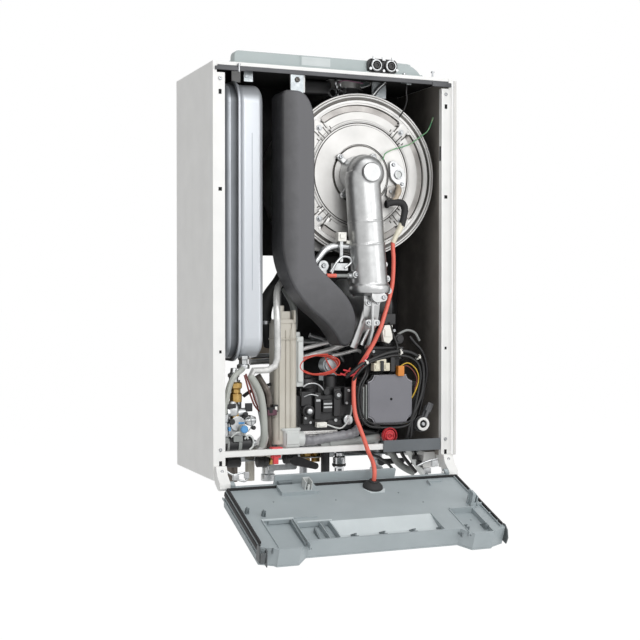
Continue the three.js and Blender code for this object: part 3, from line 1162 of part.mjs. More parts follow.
function controlHousing() {
  const shell = inPlan(housingOutline(0, HOUSING_START), -HOUSING_DEPTH, 0);
  const hollow = inPlan(housingOutline(HOUSING_WALL, HOUSING_START + HOUSING_WALL), -HOUSING_DEPTH - 1,
    -HOUSING_WALL - POCKET);
  const notches = [-1, 1].map((side) => {
    const edge = RIGHT - FLANGE - RUN;
    const [x0, x1] = side < 0 ? [-HALF_WIDTH - 5, -edge] : [edge, HALF_WIDTH + 5];
    return block(x0, x1, -NOTCH, 5, -HOUSING_DEPTH - 5, 5);
  });
  const steps = [
    block(-CORNER_X + 4, -RECESS_X, -HOUSING_LENGTH + 4, STEP_Y + 16, -POCKET, 1),
    block(-RECESS_X - 1, -78, STEP_END, STEP_Y, -POCKET, 1),
    block(RECESS_X + 10, CORNER_X - 4, -HOUSING_LENGTH + 4, STEP_Y + 6, -POCKET, 1),
  ];
  const ramp = inSide(outline([[STEP_Y, 1], [STEP_Y, 0], [STEP_Y - 34, -POCKET], [STEP_END, -POCKET],
    [STEP_END, 1]]), -79, 106);
  const upstand = block(-128, 96, -8, -HOUSING_START, -4, 17);
  const platform = block(-128, -62, -46, -SEAL_START - SEAL - FIT, -4, 6);
  const catchPost = block(CORNER_X - 4, CORNER_X + 2, STEP_Y + 12, STEP_Y + 26, -4, 24);
  const rib = block(RECESS_X + 10, CORNER_X, STEP_Y + 6, STEP_Y + 9, -4, 3);
  const ears = [-1, 1].map((side) => {
    const web = block(side * EAR_X - EAR_THICK / 2, side * EAR_X + EAR_THICK / 2, -9, 0, -EAR_R, EAR_R - 2);
    return join(web, at(rod(EAR_R, -EAR_THICK / 2, EAR_THICK / 2, "x", 20), side * EAR_X, 0, 0));
  });
  const pinBores = [-1, 1].map((side) =>
    at(rod(PIN_R + RUN, -EAR_THICK, EAR_THICK, "x", 20), side * EAR_X, 0, 0));
  const bosses = [-50, -104].flatMap((y) => [-1, 1].map((side) =>
    at(rod(4, BOARD_TOP + FIT, -4, "z", 12), side * (BOARD_X - 30), y, 0)));
  const leadHole = at(rod(LEAD_R + 2, -POCKET - 5, 1, "z", 16), GLAND_X, -GLAND_OUT, 0);
  const body = join(cut(shell, hollow), upstand, platform, catchPost, rib, ...ears, ...bosses);
  return cut(body, ...notches, ...steps, ramp, ...pinBores, leadHole);
}

const BOARD_TOP = -17;
const BOARD_THICK = 1.6;
const FASCIA_THICK = 3;
const FASCIA_TOP = -HOUSING_DEPTH - FIT;
const BUTTON_X = -HALF_WIDTH + 65;
const BUTTON_OUT = 70;
const BUTTON_TRAVEL = 1.5;
const DIAL_X = HALF_WIDTH - 95;
const DIAL_OUT = 80;

function housingSeal() {
  const outer = HALF_WIDTH - 1;
  const end = HOUSING_LENGTH - 20;
  const rear = block(-outer, outer, -SEAL_START - SEAL, -SEAL_START, FIT, 4);
  const left = block(-outer, -outer + SEAL, -end, -SEAL_START, FIT, 4);
  const right = block(outer - SEAL, outer, -end, -SEAL_START, FIT, 4);
  return join(rear, left, right);
}

function controlFascia() {
  const plate = inPlan(housingOutline(0, NOTCH + 1), FASCIA_TOP - FASCIA_THICK, FASCIA_TOP);
  const window = block(-60, 60, -96, -50, FASCIA_TOP - FASCIA_THICK - 1, FASCIA_TOP - 1.5);
  const buttonHole = at(rod(BUTTON_R + RUN, FASCIA_TOP - 5, FASCIA_TOP + 1, "z", 24), BUTTON_X, -BUTTON_OUT, 0);
  const dialHole = at(rod(PIN_R + RUN, FASCIA_TOP - 5, FASCIA_TOP + 1, "z", 16), DIAL_X, -DIAL_OUT, 0);
  return cut(plate, window, buttonHole, dialHole);
}

function controlBoard() {
  const board = block(-BOARD_X, BOARD_X, -114, -30, BOARD_TOP - BOARD_THICK, BOARD_TOP);
  const transformer = block(GLAND_X - 20, GLAND_X + 20, -60, -34, BOARD_TOP - 9, BOARD_TOP - BOARD_THICK + 0.5);
  return join(board, transformer);
}

function cableGland() {
  const dome = turned([[LEAD_R + FIT, FIT], [17, FIT], [17, 4], [12, 9], [LEAD_R + 2, GLAND_HEIGHT],
    [LEAD_R + FIT, GLAND_HEIGHT], [LEAD_R + FIT, FIT]], "z", 18);
  return dome;
}

function powerButton() {
  return turned([[0, FASCIA_TOP - FASCIA_THICK - 2], [BUTTON_R - 1, FASCIA_TOP - FASCIA_THICK - 2],
    [BUTTON_R, FASCIA_TOP - FASCIA_THICK - 1], [BUTTON_R, FASCIA_TOP], [0, FASCIA_TOP]], "z", 24);
}

function selectorDial() {
  const bottom = FASCIA_TOP - FASCIA_THICK - FIT;
  return join(
    turned([[0, bottom - 12], [DIAL_R - 2, bottom - 12], [DIAL_R, bottom - 10], [DIAL_R, bottom], [0, bottom]], "z", 28),
    rod(PIN_R, bottom - 1, BOARD_TOP - BOARD_THICK - FIT, "z", 16),
    block(-1.5, 1.5, -DIAL_R + 1, DIAL_R - 6, bottom - 14, bottom - 11),
  );
}

add(controls, "control_housing", controlHousing(), housingGrey);
add(controls, "housing_seal", housingSeal(), rubber);
add(controls, "control_fascia", controlFascia(), housingGrey);
add(controls, "control_board", controlBoard(), boardGreen);
add(controls, "cable_gland", cableGland(), rubber, GLAND_X, -GLAND_OUT, 0);
add(controls, "power_button", powerButton(), housingGrey, BUTTON_X, -BUTTON_OUT, 0);
add(controls, "selector_dial", selectorDial(), housingGrey, DIAL_X, -DIAL_OUT, 0);

export default boiler;
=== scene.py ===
"""Wall-hung combi boiler, front cover off, control housing swung down.

Finishes, fine pieces, light and camera, in metres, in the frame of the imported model.
Places are written in millimetres from the foot of the casing's wall face, as on the drawing.
"""

import json
import math

import bmesh
import bpy
from mathutils import Matrix, Vector


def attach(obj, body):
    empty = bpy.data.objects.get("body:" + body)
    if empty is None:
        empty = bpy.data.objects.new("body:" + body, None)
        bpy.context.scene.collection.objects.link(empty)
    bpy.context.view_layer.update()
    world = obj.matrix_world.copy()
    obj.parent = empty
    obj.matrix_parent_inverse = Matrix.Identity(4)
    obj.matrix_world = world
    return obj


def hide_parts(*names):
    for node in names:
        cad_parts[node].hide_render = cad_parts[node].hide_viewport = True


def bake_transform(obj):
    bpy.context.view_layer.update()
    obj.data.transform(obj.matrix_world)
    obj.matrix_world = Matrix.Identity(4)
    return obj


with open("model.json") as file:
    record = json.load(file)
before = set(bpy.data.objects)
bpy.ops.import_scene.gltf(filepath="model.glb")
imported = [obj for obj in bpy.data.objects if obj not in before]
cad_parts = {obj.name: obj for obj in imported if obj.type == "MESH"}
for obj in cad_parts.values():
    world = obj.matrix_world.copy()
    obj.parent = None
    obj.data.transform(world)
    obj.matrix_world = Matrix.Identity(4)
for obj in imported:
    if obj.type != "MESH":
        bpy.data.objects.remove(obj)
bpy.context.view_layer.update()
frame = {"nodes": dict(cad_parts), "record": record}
nodes = frame["nodes"]

# ---------------------------------------------------------------- places
MM = 0.001
CASE_FOOT = -0.350  # metres; the casing's foot, seen from the middle of its wall face
HINGE_Y, HINGE_Z = -242, -6  # the control housing's hinge line
TILT = math.radians(20.4)  # how far the housing hangs below level
DRUM = (66, 525)  # axis of the heat exchanger, X and Z
DOOR_Y = -172  # front of the burner door's flat face
ELBOW = (58, -213, 524)  # where the cast elbow bends
PUMP = (110, 125)  # middle of the pump's face, X and Z
GLAND = (42, -36)  # middle of the cable gland, on the control housing


def in_case(x, y, z):
    """Point of the casing, in millimetres from its foot, as a point of the frame."""
    return Vector((x * MM, y * MM, z * MM + CASE_FOOT))


def hung(x, y, z):
    """Point of the hanging control housing, in the casing's millimetres.

    y is negative away from the hinge, z is the height above the housing's floor.
    """
    return (
        x,
        HINGE_Y + y * math.cos(TILT) - z * math.sin(TILT),
        HINGE_Z + y * math.sin(TILT) + z * math.cos(TILT),
    )


def on_tray(x, y, z):
    """The same point, as a point of the frame."""
    return in_case(*hung(x, y, z))


def on_circle(a, b, radius, angle):
    """Point on a circle round (a, b), the angle in radians."""
    return a + radius * math.cos(angle), b + radius * math.sin(angle)


# ---------------------------------------------------------------- camera
# place, angles and lens are fitted to the casing's corners in the photograph
scene = bpy.context.scene
CAMERA_YAW = math.radians(22.45)
CAMERA_PITCH = -0.0172
camera_data = bpy.data.cameras.new("camera")
camera_data.sensor_width = 36
camera_data.lens = 69.02
camera = bpy.data.objects.new("camera", camera_data)
scene.collection.objects.link(camera)
camera.location = in_case(-840.9, -2176.7, 303.6)
camera.rotation_euler = (math.pi / 2 + CAMERA_PITCH, 0, -CAMERA_YAW)
scene.camera = camera


# ---------------------------------------------------------------- forms, in millimetres
def prism(outline, low, high, plane="front"):
    """Closed prism of an outline drawn in front (X, Z), plan (X, Y) or side (Y, Z) view."""
    put = {
        "front": lambda a, b, t: (a, t, b),
        "plan": lambda a, b, t: (a, b, t),
        "side": lambda a, b, t: (t, a, b),
    }[plane]
    count = len(outline)
    verts = [put(a, b, t) for t in (low, high) for a, b in outline]
    faces = [list(range(count)), list(range(count, 2 * count))]
    for i in range(count):
        j = (i + 1) % count
        faces.append([i, j, count + j, count + i])
    return verts, faces


def slab(x0, x1, y0, y1, z0, z1):
    """Block between two places on each axis."""
    return prism([(x0, y0), (x1, y0), (x1, y1), (x0, y1)], z0, z1, "plan")


def rounded(a0, a1, b0, b1, radius, steps=8):
    """Outline of a rectangle with round corners."""
    points = []
    corners = [(a1, b0, -90), (a1, b1, 0), (a0, b1, 90), (a0, b0, 180)]
    for a, b, start in corners:
        centre_a = a - radius if a == a1 else a + radius
        centre_b = b - radius if b == b1 else b + radius
        for i in range(steps + 1):
            points.append(on_circle(centre_a, centre_b, radius, math.radians(start + 90 * i / steps)))
    return points


AXES = {
    "x": lambda t, a, b: (t, a, b),
    "y": lambda t, a, b: (b, t, a),
    "z": lambda t, a, b: (a, b, t),
}


def turned(profile, centre, axis="y", segments=48, ring=False):
    """Turned form: profile is [radius, place along the axis]; a ring's profile closes on itself."""
    put = AXES[axis]
    verts, faces = [], []
    for radius, along in profile:
        for i in range(segments):
            angle = 2 * math.pi * i / segments
            x, y, z = put(along, radius * math.cos(angle), radius * math.sin(angle))
            verts.append((x + centre[0], y + centre[1], z + centre[2]))
    rows = len(profile)
    for row in range(rows if ring else rows - 1):
        a, b = row * segments, ((row + 1) % rows) * segments
        for i in range(segments):
            j = (i + 1) % segments
            faces.append([a + i, a + j, b + j, b + i])
    if not ring:
        faces.append(list(range(segments)))
        faces.append(list(range((rows - 1) * segments, rows * segments)))
    return verts, faces


def rod(radius, start, end, centre, axis="y", segments=32):
    """Round bar from start to end along the axis; the centre's value on that axis is added."""
    return turned([(radius, start), (radius, end)], centre, axis, segments)


def collar(outer, inner, start, end, centre, axis="y", segments=32):
    """Ring with a square section, from start to end along the axis."""
    profile = [(outer, start), (outer, end), (inner, end), (inner, start)]
    return turned(profile, centre, axis, segments, ring=True)


def ball(radius, centre, segments=32):
    """Ball; its poles are kept open by a hair, so that no face folds up."""
    steps = segments // 2
    profile = [
        (max(radius * math.sin(math.pi * i / steps), 0.02), -radius * math.cos(math.pi * i / steps))
        for i in range(steps + 1)
    ]
    return turned(profile, centre, "z", segments)


def flowing(points, per_span=8):
    """Smooth curve through the points (centripetal Catmull-Rom), as a list of points."""
    points = [Vector(p) for p in points]
    if len(points) == 2:
        return points
    ends = [2 * points[0] - points[1], *points, 2 * points[-1] - points[-2]]
    curve = []
    for i in range(len(ends) - 3):
        p0, p1, p2, p3 = ends[i : i + 4]
        t1 = (p1 - p0).length ** 0.5
        t2 = t1 + (p2 - p1).length ** 0.5
        t3 = t2 + (p3 - p2).length ** 0.5
        for step in range(per_span):
            t = t1 + (t2 - t1) * step / per_span
            a1 = p0.lerp(p1, t / t1)
            a2 = p1.lerp(p2, (t - t1) / (t2 - t1))
            a3 = p2.lerp(p3, (t - t2) / (t3 - t2))
            b1 = a1.lerp(a2, t / t2)
            b2 = a2.lerp(a3, (t - t1) / (t3 - t1))
            curve.append(b1.lerp(b2, (t - t1) / (t2 - t1)))
    curve.append(points[-1])
    return curve


def tube(route, radius, sides=16, per_span=8, flat=1.0):
    """Tube along a smooth route; radius may be a function of the share of the way along."""
    line = flowing(route, per_span)
    radius_at = radius if callable(radius) else lambda share: radius
    verts, faces = [], []
    side = None
    for i, point in enumerate(line):
        forward = (line[min(i + 1, len(line) - 1)] - line[max(i - 1, 0)]).normalized()
        if side is None:
            side = forward.orthogonal().normalized()
        side = (side - side.dot(forward) * forward).normalized()
        up = forward.cross(side)
        r = radius_at(i / (len(line) - 1))
        for k in range(sides):
            angle = 2 * math.pi * k / sides
            verts.append(tuple(point + r * (math.cos(angle) * side + flat * math.sin(angle) * up)))
    for i in range(len(line) - 1):
        a, b = i * sides, (i + 1) * sides
        for k in range(sides):
            j = (k + 1) % sides
            faces.append([a + k, a + j, b + j, b + k])
    faces.append(list(range(sides)))
    faces.append(list(range((len(line) - 1) * sides, len(line) * sides)))
    return verts, faces


def turned_about(form, centre, axis, degrees):
    """The form, turned about a line through the centre."""
    verts, faces = form
    turn = Matrix.Rotation(math.radians(degrees), 3, axis)
    middle = Vector(centre)
    return [tuple(turn @ (Vector(v) - middle) + middle) for v in verts], faces


def screw(x, y, z, radius, height=2.2):
    """Pan head with a round drive recess, standing out to the front of a face at y."""
    shoulder, recess = height * 0.55, height * 0.45
    profile = [
        (radius, 0), (radius, -shoulder), (radius * 0.78, -height), (radius * 0.42, -height),
        (radius * 0.36, -recess), (0.05, -recess),
    ]
    return turned(profile, (x, y, z), "y", 24)


# ---------------------------------------------------------------- pieces
SHARP = math.radians(38)  # edges that turn by more than this are rounded


def soften(obj, bevel, segments=2):
    """Rounds the edges by so many millimetres and shades what is left as smooth."""
    obj.data.shade_smooth()
    if bevel:
        rounding = obj.modifiers.new("edges", "BEVEL")
        rounding.width = bevel * MM
        rounding.segments = segments
        rounding.limit_method = "ANGLE"
        rounding.angle_limit = SHARP
        rounding.use_clamp_overlap = True
        normals = obj.modifiers.new("faces", "WEIGHTED_NORMAL")
        normals.keep_sharp = True
    else:
        obj.data.set_sharp_from_angle(angle=SHARP)


def piece(name, forms, slot, body="casing", place=in_case, bevel=0.0, segments=2, finish=None):
    """A piece of one or more closed forms, in the finish of a record slot or in its own."""
    verts, faces = [], []
    for form_verts, form_faces in forms:
        start = len(verts)
        verts += [place(*v) for v in form_verts]
        faces += [[start + i for i in face] for face in form_faces]
    mesh = bpy.data.meshes.new(name)
    mesh.from_pydata(verts, [], faces)
    work = bmesh.new()
    work.from_mesh(mesh)
    bmesh.ops.recalc_face_normals(work, faces=work.faces)
    work.to_mesh(mesh)
    work.free()
    obj = bpy.data.objects.new(name, mesh)
    scene.collection.objects.link(obj)
    mesh.materials.append(finish or finishes[slot])
    soften(obj, bevel, segments)
    if body:
        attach(obj, body)
    return obj


def run_leads(sides, rows):
    """Leads, hoses and thin pipes on the casing: name, route, radius, slot and finish of each."""
    for name, route, radius, slot, finish in rows:
        piece(name, [tube(route, radius, sides)], slot, finish=finish)


# ---------------------------------------------------------------- finishes
def linear(code):
    """sRGB hex as linear RGBA."""
    parts = [int(code[i : i + 2], 16) / 255 for i in (1, 3, 5)]
    return tuple(c / 12.92 if c <= 0.04045 else ((c + 0.055) / 1.055) ** 2.4 for c in parts) + (1.0,)


def add_node(tree, kind, settings=None, links=None):
    """Adds a node, sets its properties and input values, and links its inputs."""
    made = tree.nodes.new(kind)
    for key, value in (settings or {}).items():
        if isinstance(key, str) and key.islower():
            setattr(made, key, value)
        else:
            made.inputs[key].default_value = value
    for key, source in (links or {}).items():
        tree.links.new(source, made.inputs[key])
    return made


COAT_IOR = 1.5  # plastics, rubber and paint; a metal keeps the usual one
NOISE_LOW, NOISE_HIGH = 0.3, 0.7  # the noise seldom leaves this range
DARK_AT, LIGHT_AT = 0.32, 0.68  # noise at which a surface shows its dark and its light shade in full
GLOSS_LOW, GLOSS_HIGH = 0.86, 1.14  # how far the roughness swings, as shares of its value
# a fade is painted shade: dark at one place on an axis, light at another
FADE_DARK, FADE_LIGHT, FADE_MOTTLE = 0.25, 0.65, 0.16  # ends of a fade, and the noise left on it


def surface(name, light, dark, roughness, grain, depth, metallic=0.0, patch=45.0, lay=None, shade_fades=()):
    """A finish: two near shades in patches, fine grain in relief, and roughness that varies.

    grain and patch are sizes in millimetres, depth is the relief in millimetres. Real grain of
    less than half a millimetre would be lost in the picture, so it is drawn at 0.5 to 1 mm. lay
    "spun" puts the grain in rings round the exchanger's axis, as pressing and spinning leave it.
    each fade of painted shade gives an axis and two places on it, in metres, between which dark turns to
    light.
    """
    material = bpy.data.materials.new(name)
    material.use_nodes = True
    tree = material.node_tree
    shader = tree.nodes["Principled BSDF"]
    shader.inputs["Metallic"].default_value = metallic
    if not metallic:
        shader.inputs["IOR"].default_value = COAT_IOR
    place = add_node(tree, "ShaderNodeTexCoord").outputs["Object"]
    worked = place
    if lay == "spun":
        arm = place
        for step in (
            {"operation": "SUBTRACT", 1: in_case(DRUM[0], 0, DRUM[1])},
            {"operation": "MULTIPLY", 1: (1, 0, 1)},
        ):
            arm = add_node(tree, "ShaderNodeVectorMath", step, {0: arm}).outputs[0]
        radius = add_node(tree, "ShaderNodeVectorMath", {"operation": "LENGTH"}, {0: arm}).outputs["Value"]
        worked = add_node(tree, "ShaderNodeCombineXYZ", None, {"X": radius}).outputs[0]
    # a noise's scale is how often it repeats in a metre
    fine = add_node(tree, "ShaderNodeTexNoise", {"Scale": 1000 / grain, "Detail": 3.0}, {"Vector": worked})
    broad = add_node(tree, "ShaderNodeTexNoise", {"Scale": 1000 / patch, "Detail": 4.0}, {"Vector": place})
    tone = broad.outputs["Fac"]
    if shade_fades:
        apart = add_node(tree, "ShaderNodeSeparateXYZ", None, {0: place})
        base = None
        for axis, low, high in shade_fades:
            span = {"From Min": low, "From Max": high, "To Min": FADE_DARK, "To Max": FADE_LIGHT}
            rise = add_node(tree, "ShaderNodeMapRange", span, {"Value": apart.outputs[axis]}).outputs[0]
            darker = {"operation": "MINIMUM"}
            base = add_node(tree, "ShaderNodeMath", darker, {0: rise, 1: base}).outputs[0] if base else rise
        mottled = {"operation": "MULTIPLY_ADD", 1: FADE_MOTTLE}
        tone = add_node(tree, "ShaderNodeMath", mottled, {0: tone, 2: base}).outputs[0]
    shades = add_node(tree, "ShaderNodeValToRGB", None, {"Fac": tone})
    for element, at, shade in zip(shades.color_ramp.elements, (DARK_AT, LIGHT_AT), (dark, light)):
        element.position = at
        element.color = linear(shade)
    swing = {
        "From Min": NOISE_LOW, "From Max": NOISE_HIGH,
        "To Min": roughness * GLOSS_LOW, "To Max": min(roughness * GLOSS_HIGH, 1),
    }
    gloss = add_node(tree, "ShaderNodeMapRange", swing, {"Value": fine.outputs["Fac"]})
    bump = {"Strength": 1.0, "Distance": depth * MM}
    relief = add_node(tree, "ShaderNodeBump", bump, {"Height": fine.outputs["Fac"]})
    for output, entry in (
        (shades.outputs["Color"], "Base Color"),
        (gloss.outputs["Result"], "Roughness"),
        (relief.outputs["Normal"], "Normal"),
    ):
        tree.links.new(output, shader.inputs[entry])
    return material


finishes = {  # one for each slot of the record
    # powder coat on steel: bright white satin with faint orange peel, 1.4 mm across
    "white_paint": surface("white_powder_coat", "#f0f0ee", "#eaeae8", 0.42, 1.4, 0.015),
    # zinc coat: soft grey patches, 9 mm across
    "galvanised": surface("galvanised_sheet", "#b4b9bb", "#9ea4a7", 0.45, 2.5, 0.02, metallic=0.8, patch=9),
    # bitumen-dark sound lining: swallows the light
    "dark_lining": surface("dark_lining", "#232221", "#1b1a1a", 0.85, 1.8, 0.12),
    # polypropylene: grey satin with a fine spark-eroded grain
    "header_plastic": surface("header_polypropylene", "#adb6b6", "#a5afaf", 0.5, 0.9, 0.02),
    # silver stove enamel on deep-drawn steel: smooth, with painted shade darker towards the casing's left
    # wall
    "silver_paint": surface(
        "silver_stove_enamel", "#c1c5ca", "#7d8288", 0.34, 3.0, 0.004, metallic=0.35, patch=70,
        shade_fades=[("X", -0.2, -0.162)],
    ),
    # foamed polypropylene: dull, with fine beads; painted shade makes it dark towards its low left side
    "duct_plastic": surface(
        "duct_polypropylene", "#59595c", "#262628", 0.5, 1.8, 0.08, patch=16,
        shade_fades=[("X", -0.103, -0.072), ("Z", -0.118, 0.004)],
    ),
    # pressed stainless: soft rings of light round the axis
    "stainless": surface(
        "pressed_stainless", "#c3c2c0", "#b5b4b2", 0.46, 0.7, 0.006, metallic=0.85, lay="spun"
    ),
    # pressure-cast aluminium: grainy, dull silver
    "cast_aluminium": surface(
        "cast_aluminium", "#c4c5c5", "#b4b5b5", 0.36, 1.1, 0.035, metallic=0.95, patch=14
    ),
    # glass-filled nylon: black with a soft, slightly rough shine
    "black_plastic": surface("black_glass_filled_nylon", "#202022", "#19191b", 0.45, 0.8, 0.02),
    # polycarbonate: even mid grey, satin
    "pump_grey": surface("pump_cover_polycarbonate", "#76767c", "#707076", 0.42, 0.8, 0.015),
    # acetal: clear red, smooth and a little waxy
    "red_plastic": surface("red_acetal", "#e94b52", "#e0434a", 0.35, 1.0, 0.01),
    # silicone jacket: soft sheen
    "red_silicone": surface("red_silicone_jacket", "#e8705f", "#dd6757", 0.42, 0.9, 0.01),
    # EPDM rubber: near black, hardly shines
    "black_rubber": surface("epdm_rubber", "#242425", "#1d1d1e", 0.7, 0.9, 0.03),
    # natural polypropylene: milky, slightly waxy
    "siphon_plastic": surface("natural_polypropylene", "#cbc7bd", "#bcb7ab", 0.38, 2.0, 0.02, patch=60),
    # turned brass: warm, with sharp highlights
    "brass": surface("turned_brass", "#c4a468", "#ad8c52", 0.3, 0.6, 0.006, metallic=1.0, patch=12),
    # chromed copper: mirrors the room
    "chrome": surface("chromed_copper", "#dfe0e1", "#d5d6d8", 0.14, 2.0, 0.004, metallic=1.0),
    # moulded ABS: cool grey satin
    "housing_plastic": surface("housing_abs", "#a5aeb1", "#9ea7aa", 0.45, 0.9, 0.015),
    # electro-dipped steel: dark grey satin
    "bracket_paint": surface("bracket_e_coat", "#63686c", "#5a5f63", 0.42, 1.2, 0.02),
    # EPDM hose: pale grey and dull
    "grey_hose": surface("grey_epdm_hose", "#b2b5af", "#a5a8a2", 0.55, 1.2, 0.03),
    # solder resist over copper: green, its tracks as soft patches
    "circuit_board": surface("solder_resist", "#2f7048", "#285f3d", 0.35, 1.0, 0.01, patch=6),
    # drawn steel: bright, with a fine drawn grain
    "steel": surface("drawn_steel", "#b3b5b7", "#a0a2a4", 0.3, 0.5, 0.005, metallic=1.0, patch=15),
    # acetal: warm white, smooth
    "lever_plastic": surface("white_acetal", "#e6e6e3", "#dcdcd8", 0.35, 1.0, 0.01),
}

# stainless of the burner door: tinted by heat and darkened with painted shade in its pockets, dark with
# painted shade in its grooves; the rolled rim and clamp take a lighter copy of the steel as a painted
# highlight
tint_and_shade = surface(
    "stainless_tint_and_painted_shade", "#b6b3b0", "#85827f", 0.46, 0.7, 0.01, metallic=0.9, lay="spun",
)
groove_shade = surface("groove_painted_shade", "#5c5a57", "#4c4a48", 0.4, 0.7, 0.006, metallic=0.9, lay="spun")
rim_highlight = surface("rolled_rim_painted_highlight", "#e4e3e1", "#d6d5d3", 0.42, 0.7, 0.006, metallic=0.3, lay="spun")

# other metals: zinc plate is blue-white and patchy, a drawn pipe bright, the copper pipe dull brown and
# darkened with painted shade
silver_steel = surface("zinc_plated_steel", "#c2c4c5", "#a9abac", 0.32, 0.7, 0.008, metallic=1.0, patch=8)
bright_pipe = surface("bright_drawn_pipe", "#dededc", "#c3c3c1", 0.3, 0.8, 0.006, metallic=0.3, patch=12)
pipe_shade = surface("copper_pipe_painted_shade", "#77706a", "#544e49", 0.32, 0.8, 0.008, metallic=0.7, patch=14)

# linings, paint and seals: the walls' lining carries painted shade, dark towards the back and lighter
# towards the open front; the flange's lip is greyer with painted shade; the vessel's groove is dark with
# painted shade, and a painted reflection runs down its crease;
# a bare label is matt, felt woolly, old rubber chalky, a deep recess black with painted shade, glazed
# ceramic shines
shaded_wall_lining = surface(
    "shaded_wall_lining", "#aea8a1", "#5b5753", 0.85, 1.8, 0.1, patch=30, shade_fades=[("Y", -0.112, -0.198)],
)
shaded_edge_paint = surface("shaded_edge_paint", "#d2d1ce", "#c9c8c5", 0.45, 1.4, 0.015)
sleeve_shade = surface(
    "vessel_groove_shade", "#6c7075", "#1f2123", 0.4, 1.2, 0.005, metallic=0.35,
    shade_fades=[("X", -0.175, -0.188)],
)
crease_reflection = surface("crease_reflection", "#a9aeb4", "#999fa5", 0.34, 3.0, 0.004, metallic=0.35)
label_paper = surface("bare_label", "#c6cccc", "#bec5c5", 0.5, 1.0, 0.005)
felt_wrap = surface("felt_wrap", "#c3a88f", "#b3977e", 0.8, 1.6, 0.08)
seal_grey = surface("aged_rubber", "#5a5b5e", "#4c4d50", 0.6, 1.0, 0.03)
hole_shade = surface("recess_painted_shade", "#0c0c0d", "#09090a", 0.9, 2.0, 0.02)
ceramic_beige = surface("glazed_ceramic", "#b9ab98", "#a89a87", 0.25, 1.0, 0.005)

# moulded nylon, acetal, polycarbonate and ABS: smooth, satin, each in its own dye; the pump's edge line and
# the lighter ABS are painted highlights, the darker ABS is painted shade
clear_nylon = surface("natural_nylon", "#d5d8d6", "#c8cbc9", 0.32, 1.0, 0.01)
smoky_nylon = surface("smoky_nylon", "#919195", "#77777b", 0.3, 1.0, 0.01)
white_nylon = surface("white_nylon", "#f0efe9", "#e6e4dc", 0.4, 0.8, 0.01)
cream_nylon = surface("cream_nylon", "#e3ddca", "#d6cfba", 0.42, 0.8, 0.01)
orange_nylon = surface("orange_nylon", "#d98a35", "#cc7d2b", 0.42, 0.8, 0.01)
violet_nylon = surface("violet_nylon", "#5c3142", "#4f2938", 0.45, 0.8, 0.01)
blade_nylon = surface("catch_blade_nylon", "#5d6163", "#505456", 0.45, 0.9, 0.015)
lever_dark = surface("drain_lever_nylon", "#5a5b5d", "#48494b", 0.4, 0.8, 0.01)
blue_acetal = surface("blue_acetal", "#5f9fd6", "#5391c8", 0.35, 1.0, 0.01)
dark_red_acetal = surface("dark_red_acetal", "#b52f37", "#a82930", 0.4, 1.0, 0.01)
pump_edge_highlight = surface("pump_edge_highlight", "#a9a9af", "#9f9fa5", 0.42, 0.8, 0.01)
highlight_abs = surface("ramp_abs_painted_highlight", "#cfd7d9", "#c5cdcf", 0.42, 0.9, 0.015)
shade_abs = surface("housing_abs_painted_shade", "#7d8588", "#747c7f", 0.48, 0.9, 0.015)

# PVC cable jackets: even colour, soft highlight along the wire
black_jacket = surface("black_cable_jacket", "#1d1d1e", "#161617", 0.45, 0.7, 0.01)
grey_jacket = surface("grey_cable_jacket", "#8f9290", "#828583", 0.5, 0.7, 0.01)
yellow_jacket = surface("yellow_cable_jacket", "#d8b43c", "#cba733", 0.45, 0.7, 0.01)
green_jacket = surface("green_cable_jacket", "#37a06e", "#a3b98f", 0.45, 0.7, 0.01, patch=9)
brown_jacket = surface("brown_cable_jacket", "#7a3a33", "#6c302a", 0.5, 0.7, 0.01)
mauve_jacket = surface("mauve_cable_jacket", "#9a6c86", "#8c607a", 0.45, 0.7, 0.01)
coil_jacket = surface("coil_jacket", "#d9503f", "#c94636", 0.42, 0.9, 0.01)

# ---------------------------------------------------------------- nodes of the solid model
USUAL_ROUNDING = 0.6  # millimetres
EDGE_ROUNDING = {  # where it isn't the usual
    "back_panel": 0.05, "wiring_loom": 0.05, "sensor_lead": 0.05, "control_board": 0.3,
    "control_housing": 0.9, "pump_cover": 1.5, "hydraulic_block": 1.5, "siphon_trap": 1.2,
    "gas_valve": 1.5,
}
OWN_FINISH = {  # nodes that differ from the rest of their slot
    "fill_valve": silver_steel, "flow_isolator": silver_steel, "gas_isolator": silver_steel,
    "flow_isolator_lever": silver_steel, "drain_lever": lever_dark, "flow_pipe": bright_pipe,
    # the hot water pipe is darkened with painted shade
    "relief_valve": black_jacket, "hot_water_pipe": pipe_shade,
}
WELD = 0.00002  # metres; closes the seams between a solid's faces, so that its edges can be rounded

for row in frame["record"]["subparts"]:
    solid = nodes[row["node"]]
    if not solid.material_slots:
        solid.data.materials.append(None)
    for held in solid.material_slots:
        held.link = "OBJECT"
        held.material = OWN_FINISH.get(row["node"], finishes[row["material_slot"]])
    if "custom_normal" in solid.data.attributes:
        solid.data.attributes.remove(solid.data.attributes["custom_normal"])
    weld = solid.modifiers.new("weld", "WELD")
    weld.merge_threshold = WELD
    soften(solid, EDGE_ROUNDING.get(row["node"], USUAL_ROUNDING))

# ---------------------------------------------------------------- ignition lead
BOOT_END = Vector((117.7, -197.3, 404.7))


def gland_top(height):
    """Point above the middle of the cable gland."""
    return hung(*GLAND, height)


